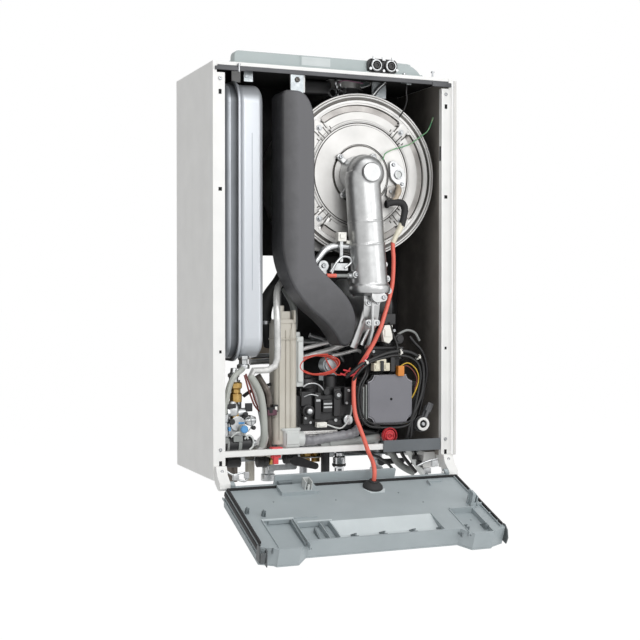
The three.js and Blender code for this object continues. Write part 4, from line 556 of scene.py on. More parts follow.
LEAD_DROP = [  # right, depth and height from the boot's end
    (0.5, 0, -14), (1, -1, -28), (0, -2, -52), (-2.5, -3, -76), (-9, -5, -99), (-20, -9, -128),
    (-31, -13, -154), (-41, -11, -176), (-54, -6, -200), (-68.5, -3, -223), (-77, -4, -243),
    (-79.5, -7, -266), (-81, -13, -292), (-80, -18, -308), (-75.5, -23, -325), (-71, -29, -342),
]
lead_route = [tuple(BOOT_END)]
lead_route += [tuple(BOOT_END + Vector(step)) for step in LEAD_DROP]
lead_route += [(48, HINGE_Y - 4, 37.5), (45.5, -269, 23.5), (43, -281, 11.5)]
lead_route += [gland_top(20), gland_top(12.3)]
lead = piece("ignition_lead_jacket", [tube(lead_route, 3.8, 20, 10)], "red_silicone", body=None)
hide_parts("ignition_lead")
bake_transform(lead)

# ---------------------------------------------------------------- burner door
DOOR_THICK = 6
GROOVE_RUN = 1.0  # width over which a pressed step rises
PRESSED_RINGS = [  # height, from radius, to radius
    (-2.5, 51.5, 55), (-2.0, 89.5, 93.5), (0.9, 95.5, 98.5), (1.3, 128.5, 133.5),
]
HUB_HEIGHT, HUB_RADIUS = 1.0, 51.5  # the raised middle
POCKET_DEPTH, POCKET_RADIUS, POCKET_HALF_WIDTH = 4.2, 119, 6  # four arc-shaped pockets
POCKET_REACH = 36  # degrees to each side of a pocket's middle
CREASE_DEPTH, CREASE_HALF_WIDTH, CREASE_ASIDE = 0.9, 0.9, 11  # two lines beside each screw
CREASE_START, CREASE_END = 93.5, 126


def step_up(distance):
    """Smooth step from 0 to 1 as the distance passes 0."""
    share = min(max(distance / GROOVE_RUN + 0.5, 0), 1)
    return share * share * (3 - 2 * share)


def pocket_depth(radius, angle):
    """How far a point lies inside one of the four arc-shaped pockets, in millimetres."""
    quarter = (math.degrees(angle) + 45) % 90 - 45
    over = math.radians(max(abs(quarter) - POCKET_REACH, 0))
    return POCKET_HALF_WIDTH - math.hypot(radius - POCKET_RADIUS, over * POCKET_RADIUS)


def from_crease(radius, angle):
    """Distance to the nearer of the two creases that run outwards beside each door screw."""
    aside = math.radians(math.degrees(angle) % 90 - 45) * radius
    return abs(abs(aside) - CREASE_ASIDE)


def door_height(radius, angle):
    """Height of the pressed door in front of its outer ring, in millimetres."""
    height = HUB_HEIGHT * step_up(HUB_RADIUS - radius)
    for rise, start, end in PRESSED_RINGS:
        height += rise * step_up(radius - start) * step_up(end - radius)
    height -= POCKET_DEPTH * step_up(pocket_depth(radius, angle))
    crease = step_up(CREASE_HALF_WIDTH - from_crease(radius, angle))
    return height - CREASE_DEPTH * crease * step_up(radius - CREASE_START) * step_up(CREASE_END - radius)


# bright steel, heat tint with painted shade in the pockets, painted shade, and a painted highlight on the
# rim ring
BRIGHT, TINT_AND_SHADE, DARK, RIM = range(4)  # finishes of the door, in the order of its materials
# painted shade at the feet of the grooves and at the door's edge
DARK_RINGS = [(51.4, 54.2), (88.6, 89.6), (92.2, 93.3), (133, 140)]  # feet of the grooves, and the edge
# the ring that takes the lighter copy of the steel, a painted highlight
RIM_RING = (127.4, 133)


def door_tone(radius, angle):
    """Finish of a spot on the door."""
    depth = pocket_depth(radius, angle)
    if depth > 0.9:
        return TINT_AND_SHADE
    if RIM_RING[0] < radius < RIM_RING[1]:
        return RIM
    if depth > 0.1 or any(start < radius < end for start, end in DARK_RINGS):
        return DARK
    # painted shade on each crease and on the line beside it
    aside = from_crease(radius, angle)  # the crease is dark, and so is the line that shades it
    if 93 < radius < CREASE_END and (aside < 0.8 or 5.0 < aside < 6.0):
        return DARK
    return BRIGHT


def burner_door():
    """The pressed door: rows of points from its middle hole to its rim, then its back."""
    radii = [27 + i for i in range(22)] + [49 + 0.5 * i for i in range(176)] + [137.8]
    count = 288  # points round
    angles = [2 * math.pi * i / count for i in range(count)]
    rows = [(radius, [DOOR_Y - door_height(radius, angle) for angle in angles]) for radius in radii]
    rows += [(radius, [DOOR_Y + DOOR_THICK] * count) for radius in (radii[-1], radii[0])]
    verts, faces, tones = [], [], []
    for radius, depths in rows:
        for angle, y in zip(angles, depths):
            x, z = on_circle(*DRUM, radius, angle)
            verts.append((x, y, z))
    for row in range(len(rows)):
        a, b = row * count, (row + 1) % len(rows) * count
        in_front = row + 1 < len(radii)
        for i in range(count):
            j = (i + 1) % count
            faces.append([a + i, a + j, b + j, b + i])
            middle = 2 * math.pi * (i + 0.5) / count
            tones.append(door_tone((radii[row] + radii[row + 1]) / 2, middle) if in_front else BRIGHT)
    door = piece("burner_door_pressing", [(verts, faces)], "stainless")
    for finish in (tint_and_shade, groove_shade, rim_highlight):
        door.data.materials.append(finish)
    for polygon, tone in zip(door.data.polygons, tones):
        polygon.material_index = tone
    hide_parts("burner_door")


burner_door()
band = [
    (138.3, -160), (138.3, -173.2), (139.2, -174.2), (140.6, -174.2), (141.4, -172.4), (142.4, -172.4),
    (143.2, -173.8), (144.6, -173.8), (145.5, -172.6), (145.5, -160.6), (144.9, -160),
]
BAND_POINTS = 144
# the band takes the lighter copy of the steel, a painted highlight
clamp = piece(
    "door_clamp_band", [turned(band, (DRUM[0], 0, DRUM[1]), "y", BAND_POINTS, ring=True)], "stainless",
    finish=rim_highlight,
)
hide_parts("door_clamp_ring")
# painted shade on the floors of the band's two grooves
clamp.data.materials.append(groove_shade)
for polygon in clamp.data.polygons:
    polygon.material_index = int(polygon.index // BAND_POINTS in (4, 8))  # the floors of its two grooves

SCREW_CIRCLE = 113
door_screws = []
for degrees in (45, 135, 225, 315):
    x, z = on_circle(*DRUM, SCREW_CIRCLE, math.radians(degrees))
    door_screws += [
        turned([(5.5, DOOR_Y + 0.5), (5.5, DOOR_Y - 0.8), (5, DOOR_Y - 1)], (x, 0, z), "y", 24),
        turned([(3.6, DOOR_Y - 0.9), (3.6, DOOR_Y - 4), (3, DOOR_Y - 4.6)], (x, 0, z), "y", 6),
    ]
piece("door_screws", door_screws, "steel", bevel=0.3)

# ---------------------------------------------------------------- cast mixing elbow
ELBOW_RADIUS = 31
ELBOW_LUGS = (48, 138, 232)  # degrees round the bend
LUG_RADIUS, LUG_FACE = 46, -179.3


def cast_elbow():
    """Cast bend: the forms flow into each other, so they are joined as one skin and smoothed."""
    top = Vector((51.5, -210, 524))
    foot = Vector((67, -208, 323))
    length = (top - foot).length
    lean = math.degrees(math.atan2(foot.x - top.x, top.z - foot.z))
    profile = [(ELBOW_RADIUS + 1, -length)]
    for share in (0.62, 0.42):
        z = -share * length
        profile += [(ELBOW_RADIUS + 0.7, z - 1.6), (ELBOW_RADIUS + 2.0, z), (ELBOW_RADIUS + 0.3, z + 1.6)]
    profile += [(ELBOW_RADIUS, -8), (ELBOW_RADIUS - 3, 4)]
    upright = turned(profile, tuple(top), "z", 64)
    upright = turned_about(upright, top, "Y", -lean)
    forms = [upright, ball(ELBOW_RADIUS + 1, ELBOW, 64)]
    forms.append(rod(16.5, -246, -213, (ELBOW[0] - 3, 0, ELBOW[2] - 1)))
    forms.append(rod(ELBOW_RADIUS + 3, -207, -173.5, (ELBOW[0], 0, ELBOW[2]), segments=48))
    for angle in ELBOW_LUGS:
        arm = slab(0, LUG_RADIUS, LUG_FACE, -173.3, -5, 5)
        end = rod(6.2, LUG_FACE, -173.3, (LUG_RADIUS, 0, 0), segments=24)
        for form in (arm, end):
            verts, faces = turned_about(form, (0, 0, 0), "Y", -angle)
            forms.append(([(x + ELBOW[0], y, z + ELBOW[2]) for x, y, z in verts], faces))
    foot_ring = [(24, 309.3), (27, 309.3), (35, 314), (37, 320), (37, 326), (31, 333), (20, 333)]
    forms.append(turned(foot_ring, (67, -208, 0), "z", 64))
    elbow = piece("mixing_elbow_casting", forms, "cast_aluminium")
    elbow.modifiers.clear()
    skin = elbow.modifiers.new("skin", "REMESH")
    skin.mode = "VOXEL"
    skin.voxel_size = 1.2 * MM
    skin.use_smooth_shade = True
    flow = elbow.modifiers.new("flow", "SMOOTH")
    flow.factor = 0.5
    flow.iterations = 4
    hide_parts("mixing_elbow")


cast_elbow()
lug_screws = []
for degrees in ELBOW_LUGS:
    x, z = on_circle(ELBOW[0], ELBOW[2], LUG_RADIUS, math.radians(degrees))
    lug_screws.append(screw(x, LUG_FACE, z, 4, height=3.2))
piece("elbow_screws", lug_screws, "steel", bevel=0.2)


# ---------------------------------------------------------------- air duct
def bezier(start, c1, c2, end, steps=14):
    """Points of a cubic curve after its start; c1 and c2 are what it bends towards."""
    points = []
    for i in range(1, steps + 1):
        t = i / steps
        u = 1 - t
        weights = (u * u * u, 3 * u * u * t, 3 * u * t * t, t * t * t)
        points.append(tuple(sum(w * p[k] for w, p in zip(weights, (start, c1, c2, end))) for k in (0, 1)))
    return points


def duct_outline():
    """The moulding from the front: down its left side, round the tip at the fan and back up."""
    left, right, tip, bend, top, fan = -106, -46, 36.85, 386, 658, 309
    points = [(left, bend + 5)]
    points += bezier(points[-1], (left + 4, bend - 50), (left + 38, bend - 92), (left + 66, bend - 112))
    points += bezier(points[-1], (left + 86, bend - 128), (left + 98, bend - 142), (tip - 36, fan - 84))
    points += bezier(points[-1], (tip - 24, fan - 92), (tip - 14, fan - 86), (tip - 9, fan - 66))
    points += bezier(points[-1], (tip + 1, fan - 34), (tip - 12, fan - 8), (tip - 40, fan + 17))
    points += bezier(points[-1], (tip - 70, fan + 45), (right, fan + 50), (right, bend))
    points += [(right, top - 60)]
    points += bezier(points[-1], (right, top - 25), (right - 12, top), (right - 34, top))
    points += [(left + 6, top), (left, top - 8)]
    return points


spout = [(-2, -181, 285), (2, -164, 291), (26.85, -144, 284), (40.85, -140, 288), (48.55, -140, 288)]
duct = piece(
    "air_duct_moulding", [prism(duct_outline(), -232, -176)], "duct_plastic", bevel=5, segments=5,
)
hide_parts("air_duct")
piece("air_duct_spout", [tube(spout, 21, 32)], "duct_plastic")

# ---------------------------------------------------------------- expansion vessel
seam = -170.6  # where the two pans meet, on X
shell_front = rounded(-200, -14, 202, 672, 36, 14)
groove_front = rounded(-200.5, -13.5, 201.5, 672.5, 36.5, 14)
rim = rounded(-206, -8, 196, 678, 42, 16)
shells = piece("vessel_shells", [
    prism(shell_front, -199, seam, "side"), prism(shell_front, seam - 0.5, -127, "side"),
], "silver_paint", bevel=11, segments=7)
piece("vessel_rolled_seam", [prism(rim, seam - 5, seam, "side")], "silver_paint", bevel=1.6, segments=3)
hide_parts("expansion_vessel")
# a band of painted shade in the vessel's groove, darkest beside the seam
piece(
    "vessel_groove", [prism(groove_front, -186.5, seam - 4.6, "side")], "silver_paint",
    finish=sleeve_shade, bevel=0.6,
)
# a darker line down the vessel's front, a painted reflection along a crease
piece(
    "vessel_crease_reflection", [slab(-149.5, -148.3, -200.3, -199.6, 318, 586)], "silver_paint",
    finish=crease_reflection, bevel=0,
)
nipple = [(8, 190.9), (8, 199), (10, 200), (10, 206), (6, 207)]
piece("vessel_nipple", [turned(nipple, (-160, -184, 0), "z", 6)], "brass", finish=silver_steel, bevel=0.4)

# ---------------------------------------------------------------- casing: linings, seals, small parts
piece("right_wall_lining", [slab(222.2, 223.3, -207, -3, 16, 697)], "dark_lining", finish=shaded_wall_lining)
piece("back_outer_skin", [
    slab(-222, 222, 0.05, 0.6, 386, 697), slab(-222, -151, 0.05, 0.6, 1, 386),
    slab(93, 222, 0.05, 0.6, 1, 386), slab(-21, 21, 0.05, 0.6, 331, 386),
    slab(-170, -163, 0.6, 2.2, 20, 690), slab(160, 167, 0.6, 2.2, 20, 690),
    slab(-140, 140, 0.6, 2.2, 640, 650),
], "galvanised", bevel=0.2)
# the flange's outer lip is greyer, painted shade
piece(
    "right_flange_lip", [slab(219.6, 225.2, -236.0, -234.4, 24, 693)], "white_paint", finish=shaded_edge_paint,
    bevel=0.4,
)
piece("left_wall_lining", [slab(-223.3, -222.2, -207, -3, 16, 697)], "dark_lining", finish=shaded_wall_lining)
piece("roof_lining", [
    slab(-221, 16, -217, -3, 697.2, 698.4), slab(116, 221, -217, -3, 697.2, 698.4),
    slab(16, 116, -217, -145, 697.2, 698.4), slab(16, 116, -45, -3, 697.2, 698.4),
], "dark_lining")
piece("roof_seal", [
    slab(-217, 217, -221.6, -218, 686.5, 693.8), slab(-221.5, -168, -223.4, -220.1, 685, 691),
    slab(184, 222, -223.4, -220.1, 683.5, 691),
], "black_rubber", finish=seal_grey, bevel=0.8)
# foam moulding behind the pump and the hydraulic block, clear of the pipe opening
piece("rear_insulation", [slab(-38, 172, -47, -33, 62, 384)], "black_rubber", bevel=3)
piece(
    "insulation_lugs", [slab(40, 60, -34, -3, 366, 380), slab(130, 150, -34, -3, 90, 110)],
    "black_rubber", bevel=1,
)

FLANGE_LEFT, FLANGE_RIGHT, FLANGE_FACE = -212.4, 212.4, -220.0
flange_screws = [
    screw(x, FLANGE_FACE, z, 3.1, height=2.0) for x in (FLANGE_LEFT, FLANGE_RIGHT) for z in (51, 671)
]
piece("flange_screws", flange_screws, "steel", bevel=0.2)
# dark slabs in the flange's holes and slots, painted shade
flange_slot_shades = []
for x in (FLANGE_LEFT, FLANGE_RIGHT):
    for z, wide, high in ((28, 5, 8), (215, 4, 5), (487, 6, 6), (649, 5, 8)):
        flange_slot_shades.append(slab(x - wide / 2, x + wide / 2, -220.25, -219, z - high / 2, z + high / 2))
flange_slot_shades.append(slab(203.6, 205.2, -217, -212, 552, 578))
piece("flange_hole_shades", flange_slot_shades, "black_plastic", finish=hole_shade)
piece("bracket_face", [slab(90.4, 203.6, -218.35, -218, 32.4, 52.6)], "bracket_paint", bevel=0.1)

# header cover: rim, label recess and the screws at its ends
piece(
    "header_rim", [prism(rounded(-188, 168, -217.2, -209, 3.5), 700.35, 702.4, "plan")], "header_plastic",
    bevel=0.6,
)
piece("header_label_frame", [slab(-67, -8, -215, -213.6, 701.8, 721)], "header_plastic", bevel=0.5)
piece(
    "header_label", [slab(-64, -11, -215.25, -214.8, 704, 718.8)], "header_plastic", finish=label_paper,
    bevel=0.2,
)
piece("header_screws", [
    turned([(1.6, 699), (1.6, 708), (3.2, 708.4), (3.2, 710.6), (1.8, 711.4)], (188, -215, 0), "z", 16),
    turned([(1.5, 683), (1.5, 694), (3.0, 694.4), (3.0, 696.6), (1.8, 697.4)], (-180, -223, 0), "z", 16),
    turned([(3.4, 700.4), (3.4, 702.5), (2.2, 703.6)], (130, -217, 0), "z", 16),
], "steel")
cap = [(10.2, -220.5), (10.2, -225.4), (9.2, -226.2), (7.9, -226.2), (7.2, -224.6), (7.2, -220.5)]
bung = [(6.4, -221), (6.4, -226), (5.4, -227.2), (3.2, -227.2), (2.6, -225.6), (0.05, -225.6)]
for count, x in enumerate((73, 101)):
    piece(
        f"test_port_ring_{count}", [turned(cap, (x, 0, 712.4), "y", 40, ring=True)], "steel",
        finish=silver_steel,
    )
    piece(f"test_port_bung_{count}", [turned(bung, (x, 0, 712.4), "y", 32)], "black_plastic")
piece("test_port_clips", [
    slab(66, 70, -224.6, -221, 722.5, 728), slab(84, 90, -225, -221, 721, 727.5),
    slab(103, 107, -224.6, -221, 722.5, 728), rod(2.6, -225.4, -222, (61.5, 0, 706)),
    rod(2.6, -225.4, -222, (112.5, 0, 706)), rod(2.4, -225.4, -222, (87, 0, 703.5)),
], "steel", finish=silver_steel, bevel=0.3)
piece("duct_tab", [prism(rounded(-86, -62, 653, 697, 5), -219, -217.4)], "galvanised", bevel=0.4)
piece("duct_tab_screw", [screw(-74, -219, 678, 4.6, height=2.6)], "steel", finish=groove_shade)
piece(
    "vessel_tab", [slab(-164, -148, -201.5, -200, 672, 697), slab(-162, -150, -203, -201, 678, 684)],
    "galvanised", bevel=0.3,
)
piece("roof_brackets", [
    slab(137, 155, -204, -190, 690, 697), slab(141, 150, -206, -203, 686, 692),
    slab(98, 126, -152, -148, 668, 697),
], "galvanised", bevel=0.5)
piece(
    "flue_bracket", [tube([(96, -154, 667), (110, -154, 684), (124, -154, 697)], 4.5, 12, 6, 0.5)],
    "steel", finish=silver_steel,
)
CLIPS = [(20, 672, 0), (31, 685, 40), (43, 676, 80), (36, 668, 20), (26, 690, 60)]  # X, Z, turn
for count, (x, z, turn) in enumerate(CLIPS):
    link = turned([(7.5, -2.2), (9, -0.6), (7.5, 1), (6, -0.6)], (0, 0, 0), "y", 28, ring=True)
    link = turned_about(link, (0, 0, 0), "Z", turn)
    shifted = [(a + x, b - 152, c + z) for a, b, c in link[0]]
    piece(f"flue_clip_{count}", [(shifted, link[1])], "steel", finish=silver_steel)
piece("flue_collar", [turned(
    [(34, 668), (36, 670), (36, 686), (34, 688), (31, 688), (31, 668)], (66, -95, 0), "z", 64, ring=True,
)], "black_rubber", bevel=0.5)
piece("flue_elbow_box", [slab(-36, 24, -140, -60, 668, 696)], "black_plastic", bevel=6, segments=4)


# ---------------------------------------------------------------- electrode
def hull(circles, steps=28):
    """Outline round circles given as centre and radius, like a belt."""
    points = sorted(
        on_circle(a, b, r, 2 * math.pi * i / steps) for a, b, r in circles for i in range(steps)
    )

    def chain(row):
        """The points that the belt touches on one side, from left to right."""
        kept = []
        for p in row:
            while len(kept) > 1 and (kept[-1][0] - kept[-2][0]) * (p[1] - kept[-2][1]) <= (
                kept[-1][1] - kept[-2][1]
            ) * (p[0] - kept[-2][0]):
                kept.pop()
            kept.append(p)
        return kept[:-1]

    return chain(points) + chain(points[::-1])


EYE = (137, 528)  # middle of the electrode's plate
plate = hull([(EYE[0], EYE[1], 15), (128.2, 545.5, 7.5), (145.2, 511.5, 7.5)])
electrode = piece(
    "electrode_plate", [prism(plate, -178.6, -173.4)], "cast_aluminium", bevel=1.2, segments=3,
)
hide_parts("ignition_electrode")
eye = [(8.6, -178.4), (8.6, -180.6), (7.8, -181.4), (6.2, -181.4), (5.6, -180.4), (5.6, -178.4)]
piece(
    "electrode_eye", [turned(eye, (EYE[0] + 1, 0, EYE[1]), "y", 48, ring=True)], "cast_aluminium",
    finish=silver_steel,
)
piece(
    "electrode_glass", [rod(5.4, -179.2, -178, (EYE[0] + 1, 0, EYE[1]))], "stainless", finish=clear_nylon,
)
piece("electrode_screws", [
    screw(128.2, -178.6, 545.5, 3.6, height=3), screw(145.2, -178.6, 511.5, 3.6, height=3),
], "steel", bevel=0.2)
piece("electrode_bracket", [
    prism([(116, 504), (128, 509), (138, 502), (135, 486), (121, 481), (114, 490)], -179, -177.4),
    slab(117, 133, -186, -178.6, 484, 487),
], "bracket_paint", finish=tint_and_shade, bevel=0.5)
piece("electrode_screw_low", [screw(122, -179, 497, 3.4, height=2.4)], "steel", bevel=0.2)
porcelain = [(137, -178, 507), (136, -184, 503), (132, -190, 495), (126, -193, 484), (120, -193.5, 478)]
piece(
    "electrode_porcelain", [tube(porcelain, lambda share: 4.4 + 1.2 * (0.35 < share < 0.6), 24, 8)],
    "lever_plastic", finish=ceramic_beige,
)
boot_route = [
    (109, -191, 473), (116, -192.5, 475.5), (127, -195, 476.5), (137, -196.5, 474.5), (141.5, -197, 466),
    (140, -197.2, 452), (135, -197.3, 434),
]
boot = piece("electrode_boot_moulding", [
    tube(boot_route, lambda share: 6.4 - 1.2 * abs(share - 0.5), 28, 10),
    tube([(141, -197, 468), (143.5, -197, 458)], 5.2, 20),
    turned([(7.2, -2), (7.2, 2), (6, 3), (6, -3)], (109, -191, 473), "x", 24, ring=True),
], "black_rubber")
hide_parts("electrode_boot")
piece("lead_connector", [tube([
    (135.6, -197.3, 438), (131, -197.3, 428), (124, -197.3, 416), (117.7, -197.3, 403.5),
], lambda share: 5.4 if share < 0.55 else 4.6, 24, 8)], "lever_plastic", finish=cream_nylon)

# ---------------------------------------------------------------- round the elbow
piece("elbow_supply_pipe", [tube([
    (-58, -164, 345), (-44, -182, 351), (-34, -198, 365), (-27, -200, 375), (-14, -200, 389),
    (2, -200, 395.5), (24, -200, 395), (49, -200, 394),
], 6.4, 28, 10)], "stainless", finish=silver_steel)
piece("pipe_clip", [
    collar(8.6, 7, 8, 16, (0, -200, 395.2), "x", 36), collar(8.6, 7, 29, 33, (0, -200, 395), "x", 36),
    slab(9, 15, -211, -208, 368, 406), slab(-2, 24, -212, -197, 353, 366),
    tube([
        (-10, -213, 350), (2, -214, 368), (13, -214, 377), (27, -213, 375), (30, -212, 368),
        (17, -212, 357),
    ], 2.3, 14, 6),
    tube([(4, -209, 366), (-4, -211, 352), (-7, -211, 343)], 3.2, 14, 6, 0.6),
], "steel", finish=silver_steel, bevel=0.6)
piece(
    "pipe_sensor_plug", [slab(5, 21, -213, -198, 404, 420), slab(8, 18, -215, -212, 409, 417)],
    "lever_plastic", finish=white_nylon, bevel=1,
)
piece(
    "pipe_sensor_tab", [slab(31, 36, -208, -203, 402, 428), slab(24, 36, -207, -202, 400, 406)],
    "lever_plastic", finish=white_nylon, bevel=0.8,
)
piece("ring_lug", [
    collar(9.5, 4.4, -207, -204.6, (-20, 0, 361), "y", 36), slab(-26, -14, -206.4, -205, 346, 354),
], "steel", finish=silver_steel, bevel=0.3)
piece(
    "ring_lug_screw", [screw(-20, -206.6, 361, 3.9, height=2.4), rod(4.6, -205, -176, (-20, 0, 361))],
    "steel", bevel=0.2,
)
for name, start, end, radius, finish in (
    ("air_probe_sleeve", -17, 1, 3.6, finishes["red_silicone"]),
    ("air_probe_tube", 0, 26, 3.1, grey_jacket),
    ("air_probe_fitting", 24, 38, 4.8, silver_steel),
):
    piece(
        name, [rod(radius, start, end, (0, -213, 344), "x")],
        "red_silicone" if "sleeve" in name else "steel", finish=finish, bevel=0.4,
    )
elbow_lugs, elbow_bolts = [], []
for x, z in ((90, 364), (95, 339), (35, 346), (98, 318)):
    elbow_lugs.append(rod(6.2, -222, -200, (x, 0, z), segments=24))
    elbow_bolts.append(screw(x, -222, z, 3.9, height=3))
piece("elbow_lugs", elbow_lugs, "cast_aluminium", bevel=0.8)
piece("elbow_bolts", elbow_bolts, "steel", bevel=0.2)
piece("fan_casting_arc", [
    tube(
        [(63, -212, 306), (60, -211, 290), (54, -209, 265), (45, -206, 240), (37, -203, 218)], 13.5, 28,
        10, 0.45,
    ),
    tube(
        [(82, -206, 302), (78, -205, 284), (72, -204, 262), (63, -203, 240), (54, -202, 222)], 4.6, 20, 6,
        0.7,
    ),
], "cast_aluminium")
piece("fan_joint_flange", [
    prism([
        (-229.5, 306), (-224, 306), (-224, 250), (-210, 228), (-197, 218), (-199, 214), (-214, 224),
        (-229.5, 248),
    ], 61.5, 66.5, "side"),
    prism(hull([(56, 297, 6), (73, 297, 6)]), -228, -224),
    prism(hull([(56, 262, 5.5), (73, 262, 5.5)]), -228, -224),
    prism(hull([(69, 309, 12), (80, 306, 7)]), -240, -234),
], "cast_aluminium", bevel=0.8)
FAN_SCREWS = [  # place and radius
    (56, -228, 297, 3.4), (73, -228, 297, 3.4), (56, -228, 262, 3.2), (73, -228, 262, 3.2),
    (80, -240, 306, 4.2),
]
piece("fan_screws", [screw(*place, height=2.8) for place in FAN_SCREWS], "steel", bevel=0.2)
run_leads(12, [
    ("earth_lead", [
        (107, -178, 553), (111, -179, 564), (125, -179, 572), (141, -179, 577), (161, -179, 584),
        (181, -180, 598), (195, -182, 609), (201, -184, 622), (204.5, -186, 634),
    ], 1.0, "steel", green_jacket),
    ("roof_sensor_lead", [
        (144, -200, 688), (143, -200, 674), (145, -198, 660), (143, -190, 643), (140, -178, 632),
    ], 1.3, "black_rubber", black_jacket),
    (
        "flue_sensor_lead", [(28, -160, 690), (40, -160, 694), (58, -160, 693), (76, -160, 691)], 1.0,
        "red_plastic", mauve_jacket,
    ),
])

# ---------------------------------------------------------------- gas valve, pump and leads
piece("gas_valve_plug", [
    prism([(93, 246), (98, 257), (113, 257), (113, 232), (106, 224), (96, 228)], -207, -196),
    slab(97, 109, -209, -206, 236, 250),
], "lever_plastic", finish=white_nylon, bevel=1)
piece("gas_valve_parts", [
    slab(88, 121, -203, -190, 258, 277), slab(84, 90, -206, -190, 262, 273),
    slab(76, 138, -201, -197, 214, 218), rod(9, -204, -197, (128, 0, 232)),
    rod(6, -206, -203, (128, 0, 232)), slab(72, 80, -203, -196, 222, 250),
], "black_plastic", bevel=1.2)
piece(
    "gas_valve_screws",
    [screw(x, -198.4, z, 3) for x, z in ((79, 182), (118, 182), (79, 210), (134, 212), (120, 247))],
    "steel", bevel=0.2,
)
piece("pump_plug", [
    slab(74, 105, -213, -198, 176, 190), slab(80, 99, -211, -200, 189, 197),
    slab(76, 84, -215, -212, 179, 187), slab(95, 103, -215, -212, 179, 187),
], "lever_plastic", finish=cream_nylon, bevel=1)
piece(
    "pump_plug_latch", [slab(86, 92, -216, -212, 176, 194), slab(108, 116, -210, -198, 174, 200)],
    "black_plastic", bevel=0.8,
)
piece("speed_plug", [slab(122, 134, -212, -200, 166, 184)], "lever_plastic", finish=orange_nylon, bevel=1)
run_leads(14, [
    ("gas_valve_lead", [
        (108, -206, 262), (115, -206, 238), (121, -206, 225), (123, -206, 214), (119, -206, 200),
    ], 2.0, "black_rubber", black_jacket),
    ("gas_pressure_loop", [
        (124, -192, 230), (128, -192, 237), (140, -190, 244), (152, -190, 247), (166, -190, 242),
        (176, -188, 228),
    ], 2.2, "grey_hose", grey_jacket),
    ("pump_signal_lead", [
        (126, -206, 182), (143, -207, 189), (159, -207, 178), (165, -207, 161), (158, -207, 138),
        (150, -200, 118),
    ], 1.1, "black_rubber", yellow_jacket),
    ("pump_signal_lead_brown", [
        (124, -207, 180), (140, -208, 184), (154, -208, 174), (161, -208, 158), (157, -206, 140),
    ], 1.0, "black_rubber", brown_jacket),
    ("pump_arc_lead", [
        (26, -200, 166), (34, -207, 175), (53, -208, 189), (72, -208, 197), (98, -208, 206),
        (121, -208, 210), (143, -208, 209), (161, -208, 201), (171, -207, 190), (175, -206, 172),
        (172, -206, 136), (163, -206, 112), (153, -206, 92), (147, -204, 72), (145, -200, 51),
    ], 3.2, "black_rubber", black_jacket),
    ("pump_arc_lead_inner", [
        (38, -203, 160), (47, -210, 176), (66, -210, 191), (93, -210, 199), (120, -210, 203),
        (148, -210, 198), (163, -209, 186), (168, -209, 166), (164, -208, 140), (158, -208, 112),
        (152, -207, 84), (151, -205, 58),
    ], 2.2, "black_rubber", black_jacket),
    ("tray_lead", [
        (150, -200, 236), (160, -202, 224), (171, -204, 212), (180, -202, 196), (186, -198, 170),
        (184, -192, 140), (178, -188, 104), (168, -186, 70), (160, -182, 52),
    ], 2.6, "black_rubber", black_jacket),
    (
        "loop_tail",
        [(24, -191, 178), (38, -200, 176), (48, -206, 184), (57, -209, 195), (64, -209, 203)], 1.6,
        "red_plastic", None,
    ),
    (
        "loop_tail_low", [(18, -192, 172), (30, -200, 168), (44, -206, 174), (56, -210, 186)], 1.6,
        "red_plastic", None,
    ),
    ("block_sensor_lead", [
        (-20, -196, 86), (-6, -198, 82), (8, -197, 77), (18, -196, 76), (28, -196, 84), (35, -196, 96),
        (39, -194, 112), (38, -190, 128),
    ], 1.4, "grey_hose", clear_nylon),
    ("rail_lead", [
        (44, -150, 30), (59, -150, 27), (85, -150, 23), (111, -150, 15), (132, -150, 1), (142, -152, -11),
    ], 2.6, "black_rubber", black_jacket),
])
STRANDS = [
    [
        (79, -193, 192), (69, -193, 192), (60, -206, 172), (48, -208, 151), (45, -208, 121),
        (52, -208, 92.5), (66, -208, 79.5), (90, -208, 75.5), (134, -208, 75.5), (152, -204, 82.5),
        (166, -196, 99), (168, -178, 115), (160, -164, 125),
    ],
    [
        (79, -193, 189), (70, -194, 188), (63, -208, 170), (52, -209, 150), (50, -209, 121),
        (56, -209, 95), (69, -209, 84.5), (92, -209, 81.3), (134, -209, 81.3), (149, -206, 86),
        (162, -198, 101), (165, -180, 115), (158, -166, 125),
    ],
]
strands = piece(
    "loom_strands", [tube(route, radius, 14, 8) for route, radius in zip(STRANDS, (2.1, 1.6))],
    "black_plastic", finish=black_jacket,
)
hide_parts("wiring_loom")

coil = []  # three uneven turns, then a tail to the pump
for step in range(49):
    angle, share = 2 * math.pi * step / 16 + 1.2, step / 48
    wide, high = 41 - 6 * math.sin(9 * share) ** 2, 18.6 - 3 * math.sin(7 * share) ** 2
    coil.append((
        -20 + wide * math.cos(angle), -190.4 + 11 * share,
        188 + high * math.sin(angle + 0.25 - 0.5 * share),
    ))
coil += [(14, -180, 171), (26, -179.5, 169), (36, -180, 173), (42.6, -181, 181)]
loops = piece("sensor_lead_coil", [tube(coil, 1.2, 12, 5)], "red_plastic", finish=coil_jacket)
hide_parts("sensor_lead")


def tie(x, y, z, radius, lean):
    """Cable tie round a lead that runs sideways, with its lock in front."""
    band = collar(radius + 1, radius, -1.4, 1.4, (x, y, z), "x", 24)
    lock = slab(x - 1.8, x + 1.8, y - radius - 3.2, y - radius, z - 2, z + 2)
    return [turned_about(band, (x, y, z), "Y", lean), lock]


piece(
    "cable_ties",
    tie(127, -208.5, 208, 4.6, 5) + tie(163, -208.5, 199, 4.6, 40) + tie(60, -208.5, 192, 4.4, -30),
    "lever_plastic", finish=white_nylon, bevel=0.2,
)


